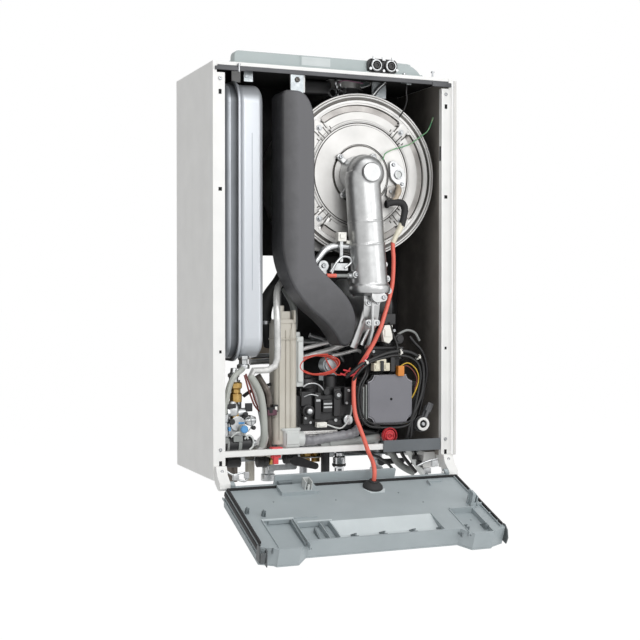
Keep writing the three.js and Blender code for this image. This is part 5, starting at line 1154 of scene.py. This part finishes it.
def pump_face(half, bite):
    """Outline of the pump's cover: a square whose corners are bitten out round."""
    points = []
    for quarter in range(4):
        turn = math.radians(90 * quarter)
        for i in range(9):
            angle = math.radians(270 - 90 * i / 8)
            a = min(half + 1 + bite * math.cos(angle), half)
            b = min(half + 1 + bite * math.sin(angle), half)
            points.append((
                PUMP[0] + a * math.cos(turn) - b * math.sin(turn),
                PUMP[1] + a * math.sin(turn) + b * math.cos(turn),
            ))
    return points


face = piece(
    "pump_face_plate", [prism(pump_face(42.5, 13), -205.5, -197)], "pump_grey", bevel=1.6, segments=4,
)
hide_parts("pump_cover")
# a lighter line round the cover's bevel, a painted highlight
piece(
    "pump_face_edge", [prism(pump_face(43.3, 12.6), -203.6, -202.2)], "pump_grey", finish=pump_edge_highlight,
    bevel=0.4,
)
piece("pump_face_frame", [prism(pump_face(44, 11), -199, -193.1)], "black_plastic", bevel=1, segments=3)
# a dark disc in the vent, painted shade
piece(
    "pump_vent", [rod(2.4, -205.9, -203, (111, 0, 125), segments=24)], "black_plastic", finish=hole_shade,
)
fins = [slab(57 + 3.2 * i, 58.6 + 3.2 * i, -192, -170, 92, 156 - 2 * i) for i in range(4)]
fins += [slab(60, 66, -194, -150, 86, 90), slab(60, 66, -194, -150, 160, 164)]
piece(
    "pump_side_bars", [slab(56.5, 59.7, -203, -160, 90, 148), slab(62, 64.8, -204, -160, 86, 152)],
    "black_plastic", finish=grey_jacket, bevel=0.8,
)
piece("pump_fins", fins, "black_plastic", bevel=0.5)
piece(
    "pump_side_plate", [slab(156, 168, -196, -150, 96, 156), slab(158, 166, -199, -195, 104, 146)],
    "black_plastic", bevel=2,
)

# ---------------------------------------------------------------- relief knob and drain valve
RELIEF_KNOB = (106, 0, 60.5)
DRAIN_HUB = (175, 0, 78)
piece("relief_knob_rings", [
    turned([
        (14.6, -206.5), (15.2, -207.5), (15.2, -209.5), (13.2, -212.2), (12.6, -212.2), (12.6, -206.5),
    ], RELIEF_KNOB, "y", 48, ring=True),
    turned([(8.6, -212.4), (8.2, -213.6), (6.8, -213.6), (6.4, -212.4)], RELIEF_KNOB, "y", 40, ring=True),
    turned([(4.4, -212.4), (4, -213.6), (2.6, -213.6), (2.2, -212.4)], RELIEF_KNOB, "y", 32, ring=True),
], "red_plastic", body="relief_knob", finish=dark_red_acetal)
piece("drain_hub_ring", [turned(
    [(12, -204), (12, -206.4), (11, -207), (7.4, -207), (6.8, -204)], DRAIN_HUB, "y", 48, ring=True,
)], "lever_plastic", body="drain_lever", bevel=0.3)
# a dark disc in the hub's cup, painted shade
piece(
    "drain_hub_cup", [rod(7, -204.6, -203, DRAIN_HUB, segments=40)], "lever_plastic", body="drain_lever",
    finish=hole_shade,
)
piece("drain_hub_pin", [turned(
    [(3.6, -203), (3.6, -206.6), (2.6, -207.4), (0.05, -207.4)], DRAIN_HUB, "y", 24,
)], "steel", body="drain_lever")
piece("drain_lever_edges", [
    turned_about(slab(172, 178, -206.4, -203, 90, 117), DRAIN_HUB, "Y", 24),
    turned_about(slab(169, 181, -205.4, -202.4, 102, 119), DRAIN_HUB, "Y", 24),
], "lever_plastic", body="drain_lever", finish=lever_dark, bevel=1.4)
piece("drain_valve_head", [turned(
    [(15, -200), (15, -192), (11, -186), (11, -180), (15, -176), (15, -170)], DRAIN_HUB, "y", 40,
)], "black_plastic", bevel=0.6)

# ---------------------------------------------------------------- hydraulic block
piece("block_parts", [
    slab(-56, -36, -192, -184, 116, 142), slab(-32, -20, -196, -184, 92, 140),
    slab(-16, 2, -194, -184, 104, 127), slab(6, 20, -191, -184, 96, 146),
    slab(24, 40, -196, -184, 116, 148), slab(-54, -42, -196, -184, 84, 100),
    rod(11, -197, -184, (-44, 0, 108)), rod(7, -203, -196, (-44, 0, 108)),
    rod(8, -193, -184, (14, 0, 134)), rod(9, -192, -184, (32, 0, 90)), slab(-6, 22, -190, -184, 80, 90),
    rod(6, -193, -184, (-8, 0, 140)),
], "black_plastic", bevel=1.6, segments=3)
piece("block_valve_dome", [
    turned([(19, 146), (19, 158), (17, 163), (13, 165), (13, 170), (8, 172)], (-36, -160, 0), "z", 40),
    turned([(12, 146), (12, 166), (9, 169)], (8, -168, 0), "z", 32),
], "black_plastic", bevel=0.8)
piece("block_metal", [
    turned([(5, -198), (5, -203.4), (3.4, -204.4), (0.05, -204.4)], (-44, 0, 108), "y", 28),
    slab(-15, 1, -195.2, -193.8, 112, 115), slab(-15, 1, -195.2, -193.8, 118, 121),
    screw(-41, -196, 88, 2.6), screw(-50, -196, 96, 2.6), screw(32, -196, 142, 2.8),
    screw(28, -196, 120, 2.6), screw(9, -191, 90, 3.4), screw(14, -193, 134, 4),
    slab(-30, -22, -196.8, -195.8, 124, 128),
    turned([(9, -190), (9, -196), (7.4, -197), (0.05, -197)], (32, 0, 90), "y", 28),
    tube(
        [(-52, -190, 150), (-44, -192, 155), (-32, -192, 156), (-20, -190, 151), (-12, -188, 142)], 1.7,
        12, 6,
    ),
    tube([(-52, -190, 132), (-40, -196, 137), (-26, -196, 134)], 1.3, 12, 6),
], "steel", finish=silver_steel, bevel=0.3)
piece(
    "block_white_plug", [slab(-30, -11, -201, -190, 79, 88), slab(-27, -14, -203, -200, 81, 86)],
    "lever_plastic", finish=white_nylon, bevel=0.8,
)
piece("sensor_drum", [
    rod(15, -172, -150, (8, 0, 186), segments=40), rod(12, -176, -171, (8, 0, 186), segments=40),
    slab(-6, 22, -166, -150, 158, 172),
], "galvanised", bevel=1)
piece("return_bends", [
    tube([(-118, -100, 190), (-60, -100, 194), (0, -100, 202), (84, -100, 205)], 5.2, 20, 6),
    tube([(-24, -100, 225), (10, -100, 225), (46, -100, 223)], 6.2, 20, 6),
    tube([(-10, -116, 238), (16, -118, 229), (44, -112, 210), (60, -108, 190)], 4.6, 20, 6),
    tube([(-118, -112, 203), (-86, -110, 203), (-30, -108, 208)], 3.4, 16, 6),
    collar(9, 6, 26, 38, (0, -100, 224.4), "x", 28),
], "stainless", finish=silver_steel)
piece("bright_returns", [
    tube(
        [(-44, -160, 198), (-28, -160, 203), (14, -160, 214), (50, -158, 224), (74, -152, 224)], 4.6, 20,
        6,
    ),
    tube([(-42, -162, 215), (-25, -162, 219), (34, -160, 231), (60, -158, 233)], 3.6, 20, 6),
    tube([(16, -158, 202), (40, -158, 206), (66, -158, 211), (78, -154, 206)], 3.4, 20, 6),
], "stainless", finish=bright_pipe)
piece(
    "back_insulation", [slab(-104, -54, -66, -50, 184, 228)], "dark_lining", finish=ceramic_beige,
    bevel=1,
)
piece("back_insulation_joint", [
    slab(-104, -54, -66.4, -66, 196, 198), slab(-104, -54, -66.4, -66, 189, 190),
], "dark_lining")
piece(
    "pipe_foam", [slab(-84, -36, -64, -33, 188, 238)], "bracket_paint", finish=felt_wrap, bevel=4,
    segments=4,
)
piece("silencer_hose", [tube([
    (-60, -140, 362), (-76, -140, 334), (-98, -140, 304), (-106, -140, 272), (-97, -138, 244),
    (-90, -130, 222),
], 13, 32, 10)], "black_rubber")
piece("silencer_bands", [collar(14.6, 13.2, -3, 3, (-103, -140, 262), "z", 40)], "steel", bevel=0.2)
piece("silencer_pipe", [tube([
    (-72, -150, 322), (-66, -158, 308), (-60, -162, 292), (-57, -162, 270), (-58, -162, 250),
], 6, 24, 8)], "grey_hose", finish=grey_jacket)

# ---------------------------------------------------------------- condensate siphon
piece("siphon_ribs", [
    slab(-99, -97.4, -197.6, -195, 60, 254), slab(-76, -74.4, -197.8, -195, 60, 262),
    slab(-86.8, -85.4, -197, -195, 70, 250),
    prism(rounded(-107.5, -62.5, -198.6, -158.5, 8), 233, 235, "plan"),
    prism(rounded(-104, -68, -195, -162, 7), 261, 268, "plan"),
    prism(rounded(-96, -74, -191, -167, 6), 267, 282, "plan"), rod(8, 281, 292, (-92, -180, 0), "z"),
    slab(-70, -66, -192, -180, 262, 284),
], "siphon_plastic", bevel=0.7)
piece("siphon_column", [
    slab(-63, -49, -186, -166, 150, 238), slab(-61, -51, -190, -185, 158, 230),
    slab(-63, -53, -180, -168, 237, 246),
], "siphon_plastic", finish=clear_nylon, bevel=2, segments=3)
piece("siphon_foot", [
    prism(rounded(-92, -60, -203, -160, 9), 47, 76, "plan"), slab(-88, -64, -205, -200, 52, 72),
    rod(13, -66, -52, (0, -190, 60), "x", 36), prism(rounded(-96, -58, -201, -162, 9), 75, 80, "plan"),
], "siphon_plastic", finish=clear_nylon, bevel=1.6, segments=3)
piece("trap_hose", [tube([
    (-56, -192, 60), (-40, -199, 57), (-16, -201, 60), (12, -201, 63), (38, -200, 66), (52, -196, 74),
], lambda share: 8.4 + 0.7 * math.sin(share * 60), 28, 14)], "siphon_plastic", finish=smoky_nylon)
piece("trap_pipe", [
    tube([(-24, -199, 47), (4, -200, 49), (36, -199, 52), (70, -196, 54), (92, -190, 56)], 7.2, 28, 8),
    rod(9.6, -8, 6, (0, -199.6, 48), "x", 32),
], "grey_hose", finish=grey_jacket)

# ---------------------------------------------------------------- filling side, lower left
piece("fill_valve_brass", [
    turned(
        [(11, 128), (11, 142), (8.6, 144), (8.6, 150), (11.4, 152), (11.4, 160), (9, 162)],
        (-176, -192, 0), "z", 8,
    ),
    turned([(7, 92), (7, 100), (9.4, 101), (9.4, 110), (7, 111)], (-180, -196, 0), "z", 6),
], "brass", bevel=0.6)
piece("fill_valve_body", [
    turned([(8, 162), (8, 170), (10, 171), (10, 176), (6, 178), (5, 186)], (-180, -192, 0), "z", 24),
    turned([(12, 104), (14, 108), (14, 120), (11, 126), (9, 130)], (-183, -192, 0), "z", 32),
    turned([(13, -206), (13, -196), (10, -190), (10, -180)], (-177, 0, 92), "y", 32),
    rod(8, -200, -160, (0, -196, 110), "x", 24), rod(6.4, -168, -142, (0, -194, 96), "x", 20),
    rod(9, -200, -188, (-152, 0, 96), "y", 28), slab(-200, -190, -204, -192, 84, 106),
    turned([(9, -196), (10.5, -194), (10.5, -190), (9, -188)], (0, -196, 110), "x", 8),
], "stainless", finish=silver_steel, bevel=1, segments=3)
piece("fill_valve_bits", [
    slab(-196, -180, -206, -198, 118, 126), rod(5, -210, -204, (-188, 0, 96)),
    rod(4, -208, -198, (-163, 0, 108)), slab(-168, -154, -206, -200, 100, 106),
    rod(3.6, -206, -198, (-148, 0, 84)), slab(-162, -150, -204, -198, 112, 126),
], "black_plastic", bevel=0.8)
piece("fill_cap_blue", [turned(
    [(6.4, -215.8), (6.4, -219), (5.2, -220.4), (0.05, -220.4)], (-169.5, 0, 83.5), "y", 28,
)], "lever_plastic", body="fill_knob", finish=blue_acetal)
piece(
    "fill_clip_blue", [slab(-194, -190, -208, -204, 80, 87), slab(-176, -165, -206.6, -203, 91, 95)],
    "lever_plastic", finish=blue_acetal, bevel=0.8,
)
DIVERTER = (0, -195.4, 57.2)  # its axis runs along X
piece("diverter_rings", [
    collar(13.6, 12.6, -214, -206, DIVERTER, "x", 48), collar(13.4, 12.6, -196, -192, DIVERTER, "x", 48),
    collar(13.4, 12.6, -176, -170, DIVERTER, "x", 48), slab(-212, -196, -212, -206, 60, 70),
    slab(-186, -170, -211, -206, 62, 72),
], "black_plastic", finish=grey_jacket, bevel=0.5)
piece("diverter_lead", [
    tube(
        [(-166, -208, 66), (-158, -209, 72), (-151, -208, 66), (-150, -206, 54), (-156, -205, 47)], 1.7,
        14, 8,
    ),
    tube([(-190, -208, 70), (-180, -212, 78), (-168, -212, 76), (-160, -210, 66)], 1.4, 12, 8),
], "grey_hose", finish=clear_nylon)
run_leads(16, [
    ("fill_lead_brown", [
        (-160, -198, 176), (-158, -200, 168), (-154, -202, 156), (-149, -202, 143), (-145, -202, 130),
        (-139, -202, 119), (-130, -202, 112), (-120, -202, 110),
    ], 1.5, "red_plastic", brown_jacket),
    ("fill_lead_red", [
        (-163, -199, 174), (-160, -201, 162), (-157, -202, 150), (-152, -203, 136), (-146, -203, 122),
        (-136, -203, 111), (-124, -203, 107),
    ], 1.5, "red_plastic", brown_jacket),
    ("grey_drain_hose", [
        (-153, -201, 172), (-146, -206, 160), (-138, -209, 142), (-134, -211, 118), (-132, -211, 92),
        (-131, -208, 66), (-132, -202, 52),
    ], 6.2, "grey_hose", None),
    ("fill_cap_strap", [
        (-170, -214, 96), (-162, -216, 104), (-156, -214, 98), (-155, -210, 86), (-160, -208, 78),
    ], 0.8, "steel", silver_steel),
])
piece(
    "lead_plug", [slab(-124, -107, -208, -198, 104, 114)], "black_plastic", finish=violet_nylon, bevel=1,
)
piece("pipe_clamp", [
    collar(8.6, 6.4, 108, 118, (-118, -200, 0), "z"), slab(-113, -104, -206, -196, 110, 122),
], "black_rubber", bevel=0.8)
piece(
    "pipe_clamp_mark", [slab(-110, -106, -206.6, -205.8, 112, 119)], "lever_plastic", finish=white_nylon,
)
piece("pipe_straps", [
    tube([(-158, -178, 136), (-146, -176, 143), (-132, -172, 148)], 3.4, 12, 6, 0.4),
    tube([(-112, -176, 154), (-98, -174, 158), (-86, -172, 163)], 3.4, 12, 6, 0.4),
], "black_rubber")
piece("red_clips", [
    slab(-117, -97, -210, -196, 40, 49), slab(-113, -104, -208, -200, 20, 34),
    slab(-116, -99, -206, -198, 30, 36),
], "red_plastic", bevel=1)
piece("hose_cuffs", [
    turned([(7.6, 96), (7.6, 108), (6, 109), (6, 95)], (-198, -200, 0), "z", 28, ring=True),
    turned([(11, 184), (11, 190), (9, 192), (7.6, 192)], (-160, -184, 0), "z", 24),
], "brass", finish=silver_steel, bevel=0.5)

# ---------------------------------------------------------------- below the crossbar
piece("drain_barrel", [
    rod(10, -164, -138, (0, -100, 13), "x", 32), rod(7, -176, -138, (0, -100, 13), "x", 28),
], "black_plastic", bevel=1)
piece("cold_tap", [
    rod(11, -106, -86, (0, -100, 12), "x", 32),
    turned([(13, -94), (13, -88), (10, -86), (10, -96)], (0, -100, 12), "x", 8, ring=True),
], "black_plastic", bevel=1)
piece(
    "cold_tap_union", [turned([(8, -84), (10, -82), (10, -74), (8, -72)], (0, -100, 14), "x", 6)],
    "brass", bevel=0.5,
)
piece("heating_tap", [
    rod(10, -54, -30, (0, -100, 15), "x", 32), prism(hull([(-36, 11, 9), (4, -1, 6)]), -112, -100),
    turned([(12.5, -50), (12.5, -42), (10, -40), (10, -52)], (0, -100, 15), "x", 8, ring=True),
], "black_plastic", bevel=1)
piece(
    "heating_nuts",
    [turned([(9, -6), (9, 4), (11, 5), (11, 12), (8, 13)], (x, -72, 8), "z", 6) for x in (20, 0)],
    "brass", bevel=0.6,
)
piece("return_filter", [turned(
    [(9, -26), (9, -8), (12, -6), (12, 12), (9, 14), (9, 20)], (55, -100, 0), "z", 32,
)], "chrome", bevel=0.6)
piece("return_filter_ring", [collar(12.8, 12, -4, 0, (55, -100, 0), "z")], "black_rubber")
run_leads(18, [
    (
        "gas_tail",
        [(151, -104, 17), (160, -104, 14), (174, -104, -4), (190, -106, -16), (206, -108, -24)], 6.5,
        "grey_hose", grey_jacket,
    ),
    ("overflow_tail", [
        (168, -150, 32), (176, -150, 18), (186, -150, 2), (196, -150, -12), (204, -150, -22),
    ], 5.2, "grey_hose", clear_nylon),
    (
        "mains_lead",
        [(178, -140, 36), (184, -140, 16), (194, -140, 0), (208, -140, -16), (216, -140, -26)], 4.0,
        "black_rubber", black_jacket,
    ),
    (
        "room_control_lead", [(190, -136, 36), (194, -136, 18), (204, -136, 2), (214, -136, -14)], 2.6,
        "black_rubber", black_jacket,
    ),
    (
        "data_lead", [(160, -132, 36), (170, -132, 14), (184, -132, -4), (198, -132, -20)], 3.2,
        "black_rubber", black_jacket,
    ),
])
piece("lead_clamps", [
    slab(168, 214, -158, -128, 30, 36), slab(186, 206, -156, -134, -4, 4),
    slab(178, 190, -160, -150, 8, 16),
], "black_plastic", bevel=1)
piece("foot_bracket", [
    slab(198, 222, -160, -120, -8, -5), slab(198, 222, -162, -159, -8, 21),
    slab(198, 200, -160, -120, -8, 14),
], "white_paint", bevel=0.5)
piece("hinge_clips", [
    tube([
        (-203, -224, 15), (-192, -228, 9), (-178, -230, 12), (-168, -230, 6), (-172, -230, -2),
        (-184, -229, 0),
    ], 1.8, 12, 6),
    slab(-194, -184, -233, -226, 0, 9), slab(-174, -166, -233, -227, 2, 13),
    tube([(153, -226, 6), (167, -228, 12), (183, -229, 16), (193, -227, 17)], 1.8, 12, 6),
    slab(165, 177, -233, -226, -8, 2), slab(179, 191, -233, -226, 4, 15),
], "galvanised", finish=silver_steel, bevel=0.6)
piece(
    "hinge_screws",
    [screw(x, y, z, 3.0, height=2) for x, y, z in ((-213, -230.2, 16), (213, -230.2, 16))], "steel",
    bevel=0.2,
)


# ---------------------------------------------------------------- control housing
def fitted(name, forms, slot="housing_plastic", finish=None, bevel=0.5, segments=2):
    """A piece of the control housing, drawn in the housing's own frame."""
    return piece(name, forms, slot, "control_tray", on_tray, bevel, segments, finish)


# the ramp is in the lighter ABS, a painted highlight where its slope catches the light
fitted("tray_ramp", [
    prism([(-134.5, 0.25), (-134.5, -0.2), (-168, -8.1), (-168, -7.4)], -78, 105, "side"),
    slab(-78, 105, -180, -168, -8.1, -7.4),
], finish=highlight_abs, bevel=0.1)
# the gussets and the thin slab beside each are in the darker ABS, painted shade
gussets = []
for x in (-52, -2, 52, 101, 147, 184):
    gussets.append(prism([(-184.5, 5.5), (-184.5, -8.4), (-166, -8.4)], x - 1.4, x + 1.4, "side"))
    gussets.append(slab(x + 1.2, x + 6, -184.8, -183.4, -8, 0.4))
fitted("tray_gussets", gussets, finish=shade_abs, bevel=0.3)
# the wedge's shaded side is in the darker ABS, painted shade
fitted("tray_wedge", [
    prism([(-120, -16), (-103, -16), (-113, -42), (-122, -42)], -0.3, 5, "plan"),
    prism([(-124, -6), (-96, -6), (-98, -14), (-122, -14)], -0.3, 8, "plan"),
], finish=shade_abs, bevel=0.6)
fitted("tray_wedge_side", [prism(
    [(-104.6, -16.5), (-103.2, -16.5), (-113.2, -42), (-114.6, -42)], -0.2, 5.3, "plan",
)], finish=shade_abs)
fitted("tray_clip_tower", [
    slab(-86, -84.4, -42, -24, -0.2, 21), slab(-75, -73.4, -42, -24, -0.2, 21),
    slab(-86, -73.4, -25.6, -24, -0.2, 21), slab(-81.6, -77.4, -42, -40.4, -0.2, 16),
    slab(-80.6, -78.4, -41, -28, 6, 9),
], finish=clear_nylon, bevel=0.4)
fitted(
    "tray_clip_shade", [slab(-83.8, -75.6, -40.2, -26, -0.1, 0.5), slab(-84.2, -82.2, -38, -30, 3, 19)],
    finish=shade_abs,
)
# the clips are in the darker ABS, painted shade
for count, (x, y) in enumerate(((-183, -104), (-207, -92))):
    fitted(f"tray_clip_{count}", [
        slab(x, x + 7, y - 1, y + 1.2, -0.2, 9), slab(x + 1, x + 3, y - 4, y, -0.2, 12),
        slab(x + 4.6, x + 6, y - 4, y, -0.2, 7),
    ], finish=shade_abs, bevel=0.3)
fitted("tray_ribs", [
    slab(150, 178, -32, -30.4, -0.2, 3), slab(148, 149.6, -44, -30.4, -0.2, 5),
    slab(-176, -92, -120, -118.4, -7.5, 2), slab(-135, -78, -136, -134.4, -7.5, 1.6),
    slab(-96, -94.4, -184, -134, -8, 0.8), slab(-79, -77.4, -184, -134, -8, 1.4),
    slab(105, 106.6, -184, -134, -8, 1.4), slab(143, 144.6, -202, -128, -8, 1.4),
    slab(-136, -134.4, -202, -118, -8, 1.4), slab(-188, -186, -202, -118, -8, 2),
    slab(-196, 196, -10.4, -9, -0.2, 1.2),
], bevel=0.4)
# lighter strips along the top edges, painted highlights
fitted("tray_edge_highlights", [
    slab(-188, -134, -121, -118, -0.1, 2.4), slab(-132, -73, -134, -131.6, -0.1, 2.0),
    slab(146, 184, -127, -124.6, -0.1, 1.4),
], finish=highlight_abs, bevel=0.3)
# the corner webs' shaded faces are in the darker ABS, painted shade
fitted("tray_corner_webs", [
    prism([(-184, -7.9), (-150, -7.9), (-150, 1)], -110, -107.4, "side"),
    prism([(-184, -7.9), (-134, -7.9), (-134, 1.4)], -94, -90, "side"),
    prism([(-190, -8), (-118, -8), (-118, 0.4), (-190, -3)], -140, -136.4, "side"),
    prism([(-202.4, 0.8), (-202.4, -8), (-186, -8)], 130, 133, "side"),
    prism([(-204, -8), (-186, -8), (-204, 3)], -198, -196, "side"),
], finish=shade_abs, bevel=0.3)
fitted("tray_rib_shades", [
    slab(-134.2, -131, -200, -136, -8, -7.6), slab(-94.2, -90, -182, -136, -8, -7.6),
    slab(-77.2, -75, -170, -140, -1.6, -1.2), slab(146, 150, -200, -130, -8, -7.6),
], finish=shade_abs, bevel=0)
fitted("tray_catch", [
    slab(187, 189, -122, -108, 23.6, 27), slab(186, 189, -112, -108, -0.2, 26),
    slab(196, 198, -124, -110, -0.2, 20), slab(186, 198, -124, -122.6, -0.2, 8),
    slab(199, 209, -121, -119, -0.2, 6),
], bevel=0.4)
fitted("tray_right_edge", [
    slab(206.5, 208, -192, -20, -0.2, 3.2), slab(206.5, 213, -150, -148.4, -0.2, 3),
    slab(206.5, 213, -176, -174.4, -0.2, 3),
], bevel=0.3)
fitted("tray_end_catches", [
    prism(
        [(-204, -26), (-184, -26), (-184, 2), (-190, 3), (-200, -2), (-206, -14)], 215.2, 217.4, "side",
    ),
    prism([(-206, -22), (-188, -24), (-186, 0), (-196, 2)], -217.6, -215.2, "side"),
    slab(-216.5, -209, -207.4, -204, -22, -4),
    prism([(-212, -26), (-196, -26), (-199, 0), (-204, -2)], -208, -206, "side"),
], slot="black_plastic", finish=blade_nylon, bevel=0.6)
fitted("tray_side_seal", [
    slab(-216.8, -215.1, -188, -14, -11, -3.4), slab(215.1, 216.8, -182, -14, -11, -3.4),
    slab(-215.5, -213.5, -192, -17, -0.2, 2.2),
], slot="black_rubber", bevel=0.6)
fitted("tray_side_rail", [
    slab(-217.4, -215.1, -190, -8, -20, -17), slab(215.1, 217.4, -190, -8, -20, -17),
], bevel=0.5)
TRAY_MARKS = [(-148, -63), (80, -60), (110, -96), (-40, -70), (166, -164)]  # marks of the mould's pins
fitted(
    "tray_marks", [rod(1.6, -0.3, 0.5, (*place, 0), "z", 16) for place in TRAY_MARKS], finish=shade_abs,
)
fitted("gland_rings", [
    turned([(17.6, 0.3), (17.6, 2.4), (16, 3), (15.4, 0.3)], (*GLAND, 0), "z", 48, ring=True),
    turned(
        [(8.6, 10.6), (8, 13.4), (6, 14.2), (4.2, 13.6), (4.2, 10.6)], (*GLAND, 0), "z", 40, ring=True,
    ),
], slot="black_rubber", bevel=0.3)
# the bracket is in the lighter ABS, a painted highlight
fitted(
    "tray_gland_bracket", [prism([(22, -40), (30, -56), (56, -56), (62, -44)], -0.2, 0.9, "plan")],
    finish=highlight_abs, bevel=0.3,
)

# ---------------------------------------------------------------- light and ground
# soft, plain studio light; the backdrop's white comes from the rays that look at it, not from
# more light on the object
world = bpy.data.worlds.new("studio")
scene.world = world
world.use_nodes = True
sky = world.node_tree
sky.nodes.clear()


def looking_rays(tree):
    """1 for the rays that show the backdrop: the camera's, and those mirrored or let through."""
    path = add_node(tree, "ShaderNodeLightPath")
    rays = path.outputs["Is Camera Ray"]
    for kind in ("Is Glossy Ray", "Is Transmission Ray"):
        either = {"operation": "MAXIMUM"}
        rays = add_node(tree, "ShaderNodeMath", either, {0: rays, 1: path.outputs[kind]}).outputs[0]
    return rays


plain = add_node(sky, "ShaderNodeBackground", {"Color": (1, 1, 1, 1), "Strength": 0.47})
white = add_node(sky, "ShaderNodeBackground", {"Color": (1, 1, 1, 1), "Strength": 1.0})
mixed = add_node(
    sky, "ShaderNodeMixShader", None, {0: looking_rays(sky), 1: plain.outputs[0], 2: white.outputs[0]}
)
add_node(sky, "ShaderNodeOutputWorld", None, {"Surface": mixed.outputs[0]})


def lamp(name, place, aim, width, height, power):
    """Large soft lamp that looks at a point, all in metres and watts."""
    data = bpy.data.lights.new(name, "AREA")
    data.shape = "RECTANGLE"
    data.size, data.size_y, data.energy = width, height, power
    made = bpy.data.objects.new(name, data)
    scene.collection.objects.link(made)
    made.location = place
    made.rotation_euler = (Vector(aim) - Vector(place)).to_track_quat("-Z", "Y").to_euler()


lamp("front_softbox", (0.1, -3.0, 1.2), (0, -0.1, 0), 1.6, 1.6, 38)
lamp("right_softbox", (1.7, -2.2, 0.5), (0, -0.1, 0), 1.0, 1.6, 13)
lamp("top_softbox", (0.0, -0.6, 2.2), (0, -0.1, 0), 1.6, 1.2, 9)

floor_mesh = bpy.data.meshes.new("floor")
side, level = 60.0, -0.75  # metres: half its width, and its height
floor_mesh.from_pydata([
    (-side, -side, level), (side, -side, level), (side, side, level), (-side, side, level),
], [], [(0, 1, 2, 3)])
floor = bpy.data.objects.new("floor", floor_mesh)
scene.collection.objects.link(floor)
paper = bpy.data.materials.new("floor_paper")
paper.use_nodes = True
tree = paper.node_tree
tree.nodes["Principled BSDF"].inputs["Base Color"].default_value = linear("#f4f4f4")
tree.nodes["Principled BSDF"].inputs["Roughness"].default_value = 0.9
# the part that is not glow keeps the object's shadow
glow = add_node(tree, "ShaderNodeEmission", {"Color": (1, 1, 1, 1), "Strength": 1.1})
share = add_node(tree, "ShaderNodeMath", {"operation": "MULTIPLY", 1: 0.84}, {0: looking_rays(tree)})
mix = add_node(
    tree, "ShaderNodeMixShader", None,
    {0: share.outputs[0], 1: tree.nodes["Principled BSDF"].outputs[0], 2: glow.outputs[0]},
)
tree.links.new(mix.outputs[0], tree.nodes["Material Output"].inputs["Surface"])
floor_mesh.materials.append(paper)

scene.view_settings.view_transform = "Standard"
